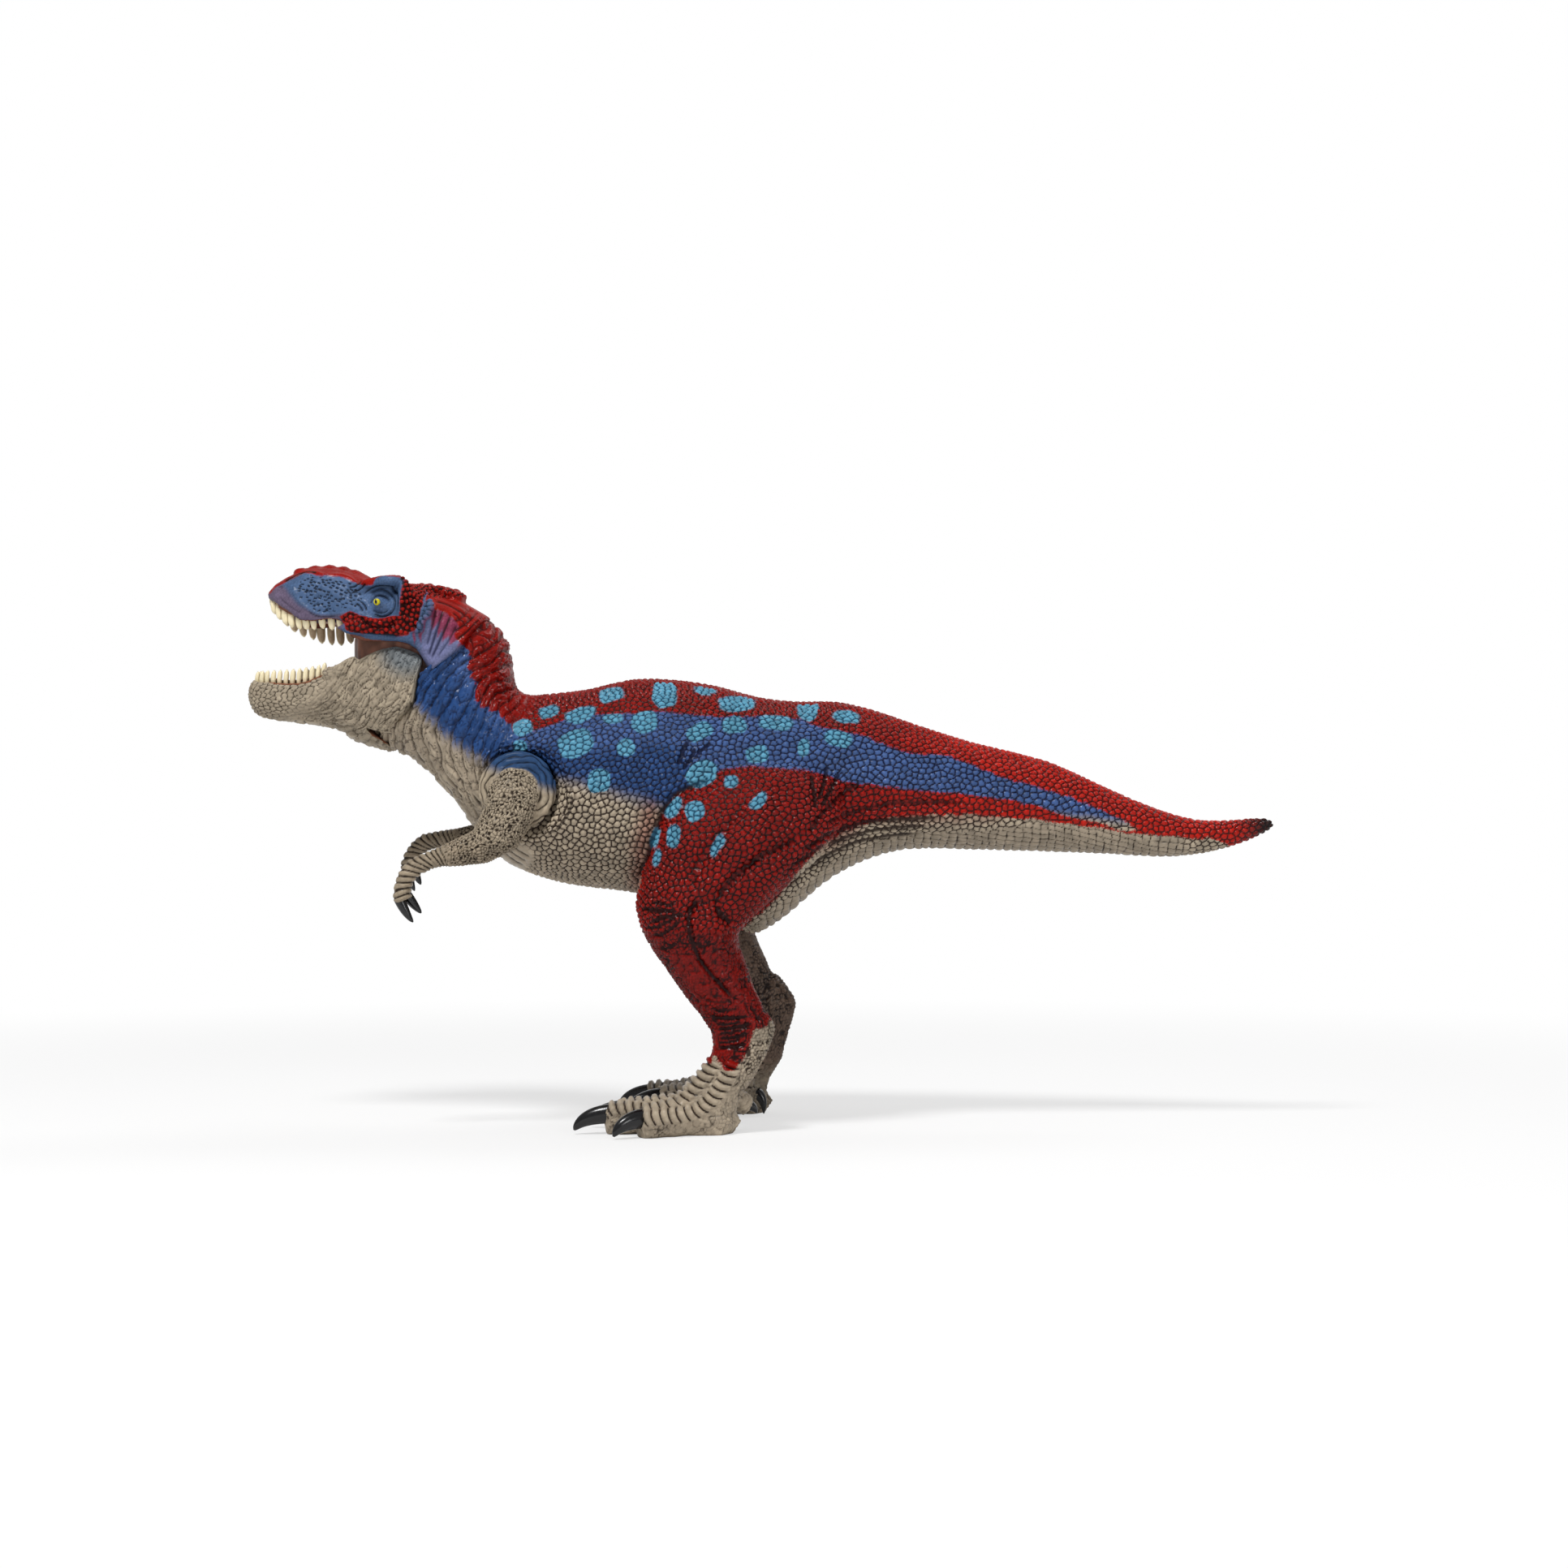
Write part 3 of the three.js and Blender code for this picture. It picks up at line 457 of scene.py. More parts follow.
def drawn(strokes: tuple[Stroke, ...], flat: Array) -> tuple[Array, Array]:
    """Draws strokes.

    Args:
        strokes: grooves and ridges.
        flat: places in the side view.

    Returns:
        Their height in millimetres and the dark wash that stays in the grooves, from 0 to 1.
    """
    relief, wash = np.zeros(len(flat)), np.zeros(len(flat))
    for stroke in strokes:
        cover = stroke.cover(flat)
        relief += stroke.height * cover
        if stroke.height < 0:
            wash = np.maximum(wash, stroke.wash * cover**1.5)
    return relief, wash


def oval(centre: tuple[float, float], radii: tuple[float, float], turn: float = 0.0) -> Curve:
    """Points of an oval whose length is turned by so many degrees, the first one repeated at the end."""
    c, s = cos_sin(turn)
    return tuple(
        (
            centre[0] + radii[0] * math.cos(a) * c - radii[1] * math.sin(a) * s,
            centre[1] + radii[0] * math.cos(a) * s + radii[1] * math.sin(a) * c,
        )
        for a in (math.pi * k / 6 for k in (*range(12), 0))
    )


@dataclass(frozen=True)
class Shift:
    """A pull on the form: what lies in an oval moves along."""

    centre: tuple[float, float]
    radii: tuple[float, float]
    move: tuple[float, float]

    def apply(self, skin: Skin) -> None:
        """Moves the vertices of a skin."""
        pull = lump(STENCIL.flat(skin.co), self.centre, self.radii) ** 2
        skin.co[:, 0] += pull * self.move[0]
        skin.co[:, 2] += pull * self.move[1]


@dataclass(frozen=True)
class Swelling:
    """A soft bulge or hollow with an oval outline in the side view."""

    centre: tuple[float, float]
    radii: tuple[float, float]
    height: float
    turn: float = 0.0

    def relief(self, flat: Array) -> Array:
        """Height of the bulge at each place, in millimetres."""
        first, second = oval_axes(flat, self.centre, self.radii, self.turn)
        return self.height * np.clip(1 - first**2 - second**2, 0, 1) ** 1.5


@dataclass(frozen=True)
class NeckSeam:
    """The glued seam between head and neck, where each skin laps over the other one."""

    line: Curve = ((-93, 123), (-82, 130.7), (-73.5, 137.6))
    normal: Place = (0.6, 0.0, -0.8)
    overlap: float = 1.1
    swell: float = 0.35
    nape: tuple[float, float] = (124.0, 131.0)

    def distance(self, flat: Array) -> Array:
        """Distance of places in the side view from the seam, in millimetres."""
        return along(np.array(self.line), flat)[0]

    def lap(self, skin: Skin, flat: Array, distance: Array, direction: int) -> None:
        """Draws a skin over the seam, down for 1 and up for -1, and swells it there towards the nape."""
        skin.co += np.array(self.normal) * (direction * self.overlap * bell(distance, 2.0))[:, None]
        skin.push(self.swell * bell(distance, 2.6) * ease(flat[:, 1], *self.nape))


SEAM = NeckSeam()


@dataclass(frozen=True)
class FoldField:
    """A family of skin folds that follow guide curves."""

    guides: tuple[Curve, ...]
    folds_between: float
    length: float
    seed: int
    uneven: float = 0.3
    cuts: float = 0.6
    blend: tuple[float, float, float] = (0.55, 0.2, 0.25)
    reach_beyond: float = 20.0
    gap_beyond: float = 3.0

    def place(self, flat: Array, points: Array) -> tuple[Array, Array]:
        """Finds where places lie among the folds.

        Args:
            flat: places in the side view.
            points: the same places in millimetres.

        Returns:
            The number of folds counted across the guides, and the distance along them in millimetres.
        """
        sides, runs = [], []
        for guide in self.guides:
            distance, arc, side = along(smooth_curve(guide, 3), flat)
            sides.append(distance * side)
            runs.append(arc)
        first = np.sign(sides[0][np.argmin(np.abs(sides[1]))])
        ahead = [first * side for side in sides]
        phase = np.clip(ahead[0], -self.reach_beyond, 0) / self.gap_beyond
        run = runs[0].copy()
        for here, beyond, run_beyond in zip(ahead[:-1], ahead[1:], runs[1:]):
            share = here / np.where(np.abs(here - beyond) < 1e-6, 1e-6, here - beyond)
            share = np.where(here <= 0, 0.0, np.where(beyond >= 0, 1.0, np.clip(share, 0, 1)))
            phase += share
            run += (run_beyond - run) * share
        phase += np.clip(ahead[-1], 0, self.reach_beyond) / self.gap_beyond
        uneven = Ripple(self.seed).at(points, 6.0) + Ripple(self.seed + 1).at(points, 2.2) * 0.4
        return phase * self.folds_between + uneven * self.uneven, run

    def wrinkles(self, flat: Array, points: Array, where: Array) -> tuple[Array, Array, Array]:
        """Folds broken up into long cells.

        Args:
            flat: places in the side view.
            points: the same places in millimetres.
            where: numbers of the places that are asked for; the others get a flat 1.

        Returns:
            Height from 0 to 1, the dark wash in the cuts between the cells with painted shade across the fold valleys,
            from 0 to 1, and the tone of each cell.
        """
        phase, run = self.place(flat[where], points[where])
        cells = Scales(np.column_stack([phase, run / self.length, np.zeros(len(phase))]), self.seed + 5, 1, 0.7)
        broad = np.abs(np.sin(0.5 * np.pi * phase)) ** 0.7
        narrow = np.abs(np.sin(np.pi * (phase + 0.25 * np.sin(1.3 * run)))) ** 0.6
        height, dark, tone = np.ones(len(flat)), np.zeros(len(flat)), np.full(len(flat), 0.5)
        crinkle = 1 - ease(np.abs(Ripple(self.seed + 2).at(points[where], 1.9)), 0.0, 0.13)
        first, second, third = self.blend
        height[where] = first * broad + second * narrow + third * cells.relief(0.22, 0.35) - 0.16 * crinkle
        cuts = cells.furrow(0.14) * (0.3 + 0.7 * (cells.tone > 0.5)) * self.cuts
        # Painted shade: the valleys of the folds darken gradually from crest to furrow, beside the dark wash in the
        # cuts
        lines = (1 - broad) ** 1.8 * (0.3 + 0.6 * first), (1 - narrow) ** 2.2 * (0.2 + 0.6 * second)
        dark[where] = np.maximum.reduce([cuts, *lines, 0.4 * crinkle])
        tone[where] = cells.tone
        return height, dark, tone


@dataclass(frozen=True)
class Plates:
    """A row of raised plates across a path in the side view, as on toes and shanks."""

    places: Curve
    half_width: float
    spacing: float
    height: float

    def relief(self, flat: Array) -> tuple[Array, Array, Array]:
        """Measures the plates.

        Args:
            flat: places in the side view.

        Returns:
            Their height in millimetres, the wash between them from 0 to 1, and where they lie from 0 to 1.
        """
        path = smooth_curve(self.places)
        relief, wash, cover = np.zeros(len(flat)), np.zeros(len(flat)), np.zeros(len(flat))
        near = within(flat, path.min(0) - self.half_width * 2, path.max(0) + self.half_width * 2)
        if len(near):
            distance, arc, side = along(path, flat[near])
            across = (1 - ease(distance, 0.75 * self.half_width, 1.1 * self.half_width)) * ease(arc, 0.0, 1.0)
            count = arc / self.spacing + 0.3 * (distance / self.half_width) ** 2 + 0.08 * side * distance
            share = count - np.floor(count)
            from_gap = np.minimum(share, 1 - share)
            ledge = ease(from_gap, -0.04, 0.36) * (1 - 0.3 * share) * (1 - 0.3 * (distance / self.half_width) ** 2)
            relief[near] = self.height * across * (ledge - 0.2)
            wash[near] = across * (1 - ease(from_gap, 0.0, 0.2)) * ease(arc, 0.6, 2.4) * 0.9
            cover[near] = across
        return relief, wash, cover


class Scales:
    """Moulded scales: cells round evenly strewn seeds."""

    SAMPLES_PER_SEED = 24

    def __init__(self, grain: Array, seed: int, rounds: int = 2, spread: float = 0.8) -> None:
        """Strews the seeds and measures every vertex against them.

        Args:
            grain: places in a space where one scale is one unit wide.
            seed: start of the random draw.
            rounds: how many times the seeds even out.
            spread: least distance between seeds at first, in units.
        """
        draw = np.random.default_rng(seed)
        order = draw.permutation(len(grain))
        seeds = grain[self.strewn(grain, order, spread)]
        sample = grain[order[: self.SAMPLES_PER_SEED * len(seeds)]]
        for _ in range(rounds):
            tree = self.tree(seeds)
            owner = np.array([tree.find(place)[1] for place in sample.tolist()])
            count = np.maximum(np.bincount(owner, minlength=len(seeds)), 1)[:, None]
            seeds = np.column_stack([np.bincount(owner, axis, len(seeds)) for axis in sample.T]) / count
        tree = self.tree(seeds)
        found = [tree.find_n(place, 2) for place in grain.tolist()]
        own = np.array([hits[0][1] for hits in found])
        other = np.array([hits[1][1] for hits in found])
        self.near = np.array([hits[0][2] for hits in found])
        far = np.array([hits[1][2] for hits in found])
        apart = np.linalg.norm(seeds[own] - seeds[other], axis=1)
        self.edge = (far**2 - self.near**2) / (2 * np.maximum(apart, 1e-6))
        self.tone = draw.random(len(seeds))[own]

    @staticmethod
    def strewn(grain: Array, order: Array, spread: float) -> list[int]:
        """Picks places that keep their distance.

        Args:
            grain: all places.
            order: their numbers in the order in which they are tried.
            spread: least distance between the chosen ones.

        Returns:
            The numbers of the chosen places.
        """
        taken: dict[tuple[int, int, int], Place] = {}
        chosen = []
        cells = np.floor(grain / (spread / math.sqrt(3))).astype(int)
        offsets = list(itertools.product((-2, -1, 0, 1, 2), repeat=3))
        limit = spread * spread
        for i in order.tolist():
            cx, cy, cz = cells[i].tolist()
            if (cx, cy, cz) in taken:
                continue
            x, y, z = grain[i].tolist()
            for ox, oy, oz in offsets:
                other = taken.get((cx + ox, cy + oy, cz + oz))
                if other and (other[0] - x) ** 2 + (other[1] - y) ** 2 + (other[2] - z) ** 2 < limit:
                    break
            else:
                taken[cx, cy, cz] = (x, y, z)
                chosen.append(i)
        return chosen

    @staticmethod
    def tree(seeds: Array) -> KDTree:
        """Search tree that finds places by their row numbers."""
        tree = KDTree(len(seeds))
        for i, place in enumerate(seeds.tolist()):
            tree.insert(place, i)
        tree.balance()
        return tree

    def furrow(self, width: float = 0.17) -> Array:
        """Dark paint left between the scales: 1 on the border line and 0 beyond the width."""
        return 1 - ease(self.edge, 0.0, width)

    def relief(self, groove: float = 0.2, crown: float = 0.5) -> Array:
        """Height from 0 in the furrows, a share of a scale wide, to 1 on the domed crowns."""
        flat_top = ease(self.edge, 0.0, groove)
        return flat_top * (1 - crown * np.clip(self.near / 0.62, 0, 1) ** 2)


# Materials


def spelled(text: str) -> str:
    """Name of an input as it is written in this file."""
    return text.lower().replace(" ", "_")


class Wiring:
    """Adds nodes to one tree."""

    def __init__(self, tree: bpy.types.NodeTree) -> None:
        """Empties the tree."""
        self.tree = tree
        tree.nodes.clear()

    def add(self, kind: str, links: dict[str | int, Socket] | None = None, **settings: object) -> bpy.types.Node:
        """Adds a node with its settings and links.

        Args:
            kind: Blender's type of the node, without ShaderNode.
            links: input names or numbers and what feeds them.
            settings: properties of the node, and values of its inputs under their names in lower case.

        Returns:
            The node.
        """
        node = self.tree.nodes.new("ShaderNode" + kind)
        sockets = {spelled(text) for socket in node.inputs for text in (socket.name, socket.identifier)}
        for name in settings.keys() - sockets:
            setattr(node, name, settings[name])
        inputs = {}
        for socket in reversed(list(node.inputs)):
            if socket.enabled:
                inputs[spelled(socket.name)] = inputs[spelled(socket.identifier)] = socket
        for name in settings.keys() & sockets:
            inputs[name].default_value = settings[name]
        for name, source in (links or {}).items():
            target = node.inputs[name] if isinstance(name, int) else inputs[name]
            self.tree.links.new(source, target)
        return node

    def mix(self, share: Socket, first: Socket | Colour, second: Socket | Colour) -> Socket:
        """Mixes two colours.

        Args:
            share: of the second colour.
            first: a socket or a linear colour.
            second: another one.

        Returns:
            The mixed colour.
        """
        node = self.add("Mix", {0: share}, data_type="RGBA")
        for socket, colour in zip(node.inputs[6:8], (first, second)):
            if isinstance(colour, Socket):
                self.tree.links.new(colour, socket)
            else:
                socket.default_value = colour
        return node.outputs[2]

    def remap(self, value: Socket, kind: str = "LINEAR", **limits: float) -> Socket:
        """Maps a value from one range to another; the limits are 0 and 1 where none are given."""
        return self.add("MapRange", {"value": value}, interpolation_type=kind, **limits).outputs[0]

    def reckon(self, operation: str, first: Socket, second: Socket) -> Socket:
        """Joins two values by arithmetic."""
        return self.add("Math", {0: first, 1: second}, operation=operation).outputs[0]

    def noise(self, place: Socket, scale: float, detail: float = 2.0) -> Socket:
        """Cloudy noise between 0 and 1; the scale is waves in a metre."""
        return self.add("TexNoise", {"vector": place}, scale=scale, detail=detail).outputs["Fac"]

    def read(self, name: str) -> Socket:
        """Reads a value that was kept on the mesh."""
        return self.add("Attribute", attribute_name=name).outputs["Fac"]

    def frayed(self, noise: Socket, name: str, size: float) -> Socket:
        """Adds noise of some size to a value that was kept on the mesh."""
        links = {0: noise, 2: self.read(name)}
        return self.add("Math", links, operation="MULTIPLY_ADD", value_001=size).outputs[0]


@dataclass(frozen=True)
class Finish:
    """Look of one real material; each kind wires its own nodes."""

    name: str

    def build(self) -> Material:
        """Makes the material, or finds it if it was made before."""
        material = bpy.data.materials.get(self.name)
        if material is None:
            material = bpy.data.materials.new(self.name)
            material.use_nodes = True
            self.wire(Wiring(material.node_tree))
        return material

    def wire(self, nodes: Wiring) -> None:
        """Adds the nodes."""
        raise NotImplementedError


@dataclass(frozen=True)
class Coat:
    """One sprayed or brushed layer of paint over the vinyl."""

    attribute: str
    colour: str
    shade: str
    soft: float
    uneven: float
    strength: float = 1.0


@dataclass(frozen=True)
class PaintedVinyl(Finish):
    """Soft PVC, moulded with scales and sprayed: satin crowns with dark wash left in the furrows, and painted shade in
    the fold valleys and on the undersides.
    """

    ground: str
    shade: str
    coats: tuple[Coat, ...]
    roughness: float = 0.38
    wash: float = 0.95
    lacquer: float = 0.22
    index: float = 1.46

    def wire(self, nodes: Wiring) -> None:
        """Adds the nodes."""
        place = nodes.add("TexCoord").outputs["Object"]
        # Spray speckle: droplets of about 0.4 mm, and mottling of about 5 mm
        speckle = nodes.noise(place, 2500.0)
        mottle = nodes.noise(place, 200.0, 3.0)
        groove = nodes.read("groove")
        colour = self.sprayed(nodes, speckle, groove)
        # Each scale takes a little more or less paint, and painted shade darkens the undersides, the inner faces of the
        # legs and the far arm
        lift = nodes.remap(nodes.read("tone"), to_min=0.85, to_max=1.15)
        cloud = nodes.remap(mottle, from_min=0.3, from_max=0.7, to_min=0.84, to_max=1.12)
        dull = nodes.remap(nodes.read("dull"), to_min=1.0, to_max=0.62)
        value = nodes.reckon("MULTIPLY", nodes.reckon("MULTIPLY", lift, cloud), dull)
        colour = nodes.add("HueSaturation", {"color": colour, "value": value}).outputs[0]
        rough = nodes.remap(groove, to_min=self.roughness, to_max=min(1.0, self.roughness + 0.3))
        bump = nodes.add("Bump", {"height": speckle}, strength=0.15, distance=0.0001).outputs[0]
        # Matting powder breaks up the mirror part of the paint, and a thin lacquer gives the small sharp glints
        shader = nodes.add(
            "BsdfPrincipled", {"base_color": colour, "roughness": rough, "normal": bump}, ior=self.index,
            specular_ior_level=0.08, coat_weight=self.lacquer, coat_roughness=0.1, coat_ior=self.index)
        nodes.add("OutputMaterial", {"surface": shader.outputs[0]})

    def sprayed(self, nodes: Wiring, speckle: Socket, groove: Socket) -> Socket:
        """Lays the coats over the ground, on the crowns and darker in the furrows.

        Args:
            nodes: where they go.
            speckle: noise that frays the edges of the coats.
            groove: how much dark wash and painted shade stays, from 0 to 1.

        Returns:
            The colour.
        """
        ragged = nodes.add("Math", {0: speckle}, operation="SUBTRACT", value_001=0.5).outputs[0]
        crown, furrow = linear(self.ground), linear(self.shade)
        for coat in self.coats:
            cover = nodes.frayed(ragged, coat.attribute, coat.uneven)
            cover = nodes.remap(cover, "SMOOTHSTEP", from_min=-coat.soft, from_max=coat.soft, to_max=coat.strength)
            crown = nodes.mix(cover, crown, linear(coat.colour))
            furrow = nodes.mix(cover, furrow, linear(coat.shade))
        # The furrow colour stands for the dark wash, and for painted shade in the fold valleys and under the brow
        wash_and_shade = nodes.remap(groove, "SMOOTHSTEP", from_min=0.08, from_max=0.62, to_max=self.wash)
        return nodes.mix(wash_and_shade, crown, furrow)


@dataclass(frozen=True)
class PlainVinyl(Finish):
    """Hard or soft PVC in one colour with a second colour that gathers by a painted value: a stain, and on the teeth
    painted shade as well.
    """

    colour: str
    stain: str
    roughness: float
    stain_reach: tuple[float, float] = (0.0, 1.0)
    pattern: float = 900.0
    uneven: float = 0.3

    def wire(self, nodes: Wiring) -> None:
        """Adds the nodes."""
        place = nodes.add("TexCoord").outputs["Object"]
        cloud = nodes.noise(place, self.pattern, 3.0)
        amount = nodes.frayed(cloud, "stain", self.uneven)
        start, full = (limit + self.uneven / 2 for limit in self.stain_reach)
        cover = nodes.remap(amount, from_min=start, from_max=full)
        colour = nodes.mix(cover, linear(self.colour), linear(self.stain))
        rough = nodes.remap(cloud, to_min=self.roughness - 0.06, to_max=self.roughness + 0.1)
        bump = nodes.add("Bump", {"height": cloud}, strength=0.1, distance=0.0001).outputs[0]
        shader = nodes.add("BsdfPrincipled", {"base_color": colour, "roughness": rough, "normal": bump}, ior=1.5)
        nodes.add("OutputMaterial", {"surface": shader.outputs[0]})


class Paint(str, Enum):
    """Colours of the sprayed coats, as they look under plain white light."""

    GREY = "#a89a86"
    GREY_WASH = "#261812"
    RED = "#800d05"
    RED_WASH = "#1a0302"
    SCARLET = "#ad180b"
    BLUE = "#405a8c"
    BLUE_WASH = "#0d1230"
    DEEP = "#1f4072"
    DEEP_WASH = "#060d28"
    CYAN = "#5997b2"
    CYAN_WASH = "#123c54"
    BLACK = "#101012"
    SLATE = "#4b6285"
    SLATE_WASH = "#151d2c"
    MAUVE = "#665a70"
    MAUVE_WASH = "#2b2430"
    TAIL_BROWN = "#2c1512"
    CRIMSON = "#8a2740"


RED_COAT = ("red", Paint.RED, Paint.RED_WASH)
BODY_VINYL = PaintedVinyl(
    "sprayed_soft_pvc_body",
    Paint.GREY,
    Paint.GREY_WASH,
    (
        Coat("flush", "#8d5044", "#2c100c", 3.0, 1.5, 0.65),
        # Painted shade: the inner coat is a dark brown on the inner faces of the legs
        Coat("inner", "#6f5547", "#1c100c", 2.5, 1.5, 0.85),
        Coat("blue", Paint.BLUE, Paint.BLUE_WASH, 1.8, 1.2),
        Coat("deep", Paint.DEEP, Paint.DEEP_WASH, 3.0, 1.5, 0.85),
        Coat(*RED_COAT, 0.35, 1.6),
        Coat("scarlet", Paint.SCARLET, "#3a0704", 0.35, 1.6),
        Coat("cyan", Paint.CYAN, Paint.CYAN_WASH, 0.25, 0.6),
        Coat("tip", Paint.TAIL_BROWN, Paint.BLACK, 5.0, 3.0),
    ),
)
HEAD_VINYL = PaintedVinyl(
    "sprayed_soft_pvc_head",
    Paint.SLATE,
    Paint.SLATE_WASH,
    (
        Coat("mauve", Paint.MAUVE, Paint.MAUVE_WASH, 0.9, 0.6),
        Coat("lilac", "#6d7196", "#2a2c47", 1.2, 1.0),
        Coat("rose", Paint.CRIMSON, Paint.RED_WASH, 1.0, 1.5, 0.85),
        Coat("red", "#92130a", Paint.RED_WASH, 0.25, 0.4),
        Coat("flesh", "#7a4a3c", "#4a2a22", 0.3, 0.2),
    ),
    roughness=0.42,
    lacquer=0.12,
)
JAW_VINYL = PaintedVinyl(
    "sprayed_soft_pvc_jaw",
    "#a59884",
    "#2a1e17",
    (
        Coat("slate", "#677178", "#222a31", 3.5, 1.5, 0.85),
        Coat("flesh", "#85563f", "#4a2c22", 0.3, 0.2),
    ),
    roughness=0.45,
    lacquer=0.08,
)
LIMB_VINYL = PaintedVinyl(
    "sprayed_soft_pvc_arm",
    "#a69883",
    "#271c15",
    (
        Coat("shade", "#8a7a66", "#1d140f", 4.0, 2.0, 0.4),
        Coat("deep", "#2a4468", "#0a1322", 2.0, 1.5),
    ),
    roughness=0.42,
    lacquer=0.1,
)
# The teeth's brown is a stain at the roots and painted shade on the inner faces of the upper teeth
IVORY = PlainVinyl("hard_pvc_teeth", "#efe2bd", "#a07a58", 0.3, (0.45, 1.0))
FLESH = PlainVinyl("soft_pvc_mouth_lining", "#8f5b45", "#55301f", 0.4)
HORN = PlainVinyl("glossy_pvc_claws", "#0d0d0f", "#26221d", 0.2, (0.6, 1.2))
EYE_YELLOW = PlainVinyl("lacquered_pvc_eyes", "#d3c81f", "#0a0a08", 0.1, (0.35, 0.65), 300.0)
PIN = PlainVinyl("turned_pom_pin", "#c9c4b8", "#8f8a80", 0.35)
RED_GLOSS = PlainVinyl("sprayed_soft_pvc_crest", Paint.RED, Paint.RED_WASH, 0.3)


# Body


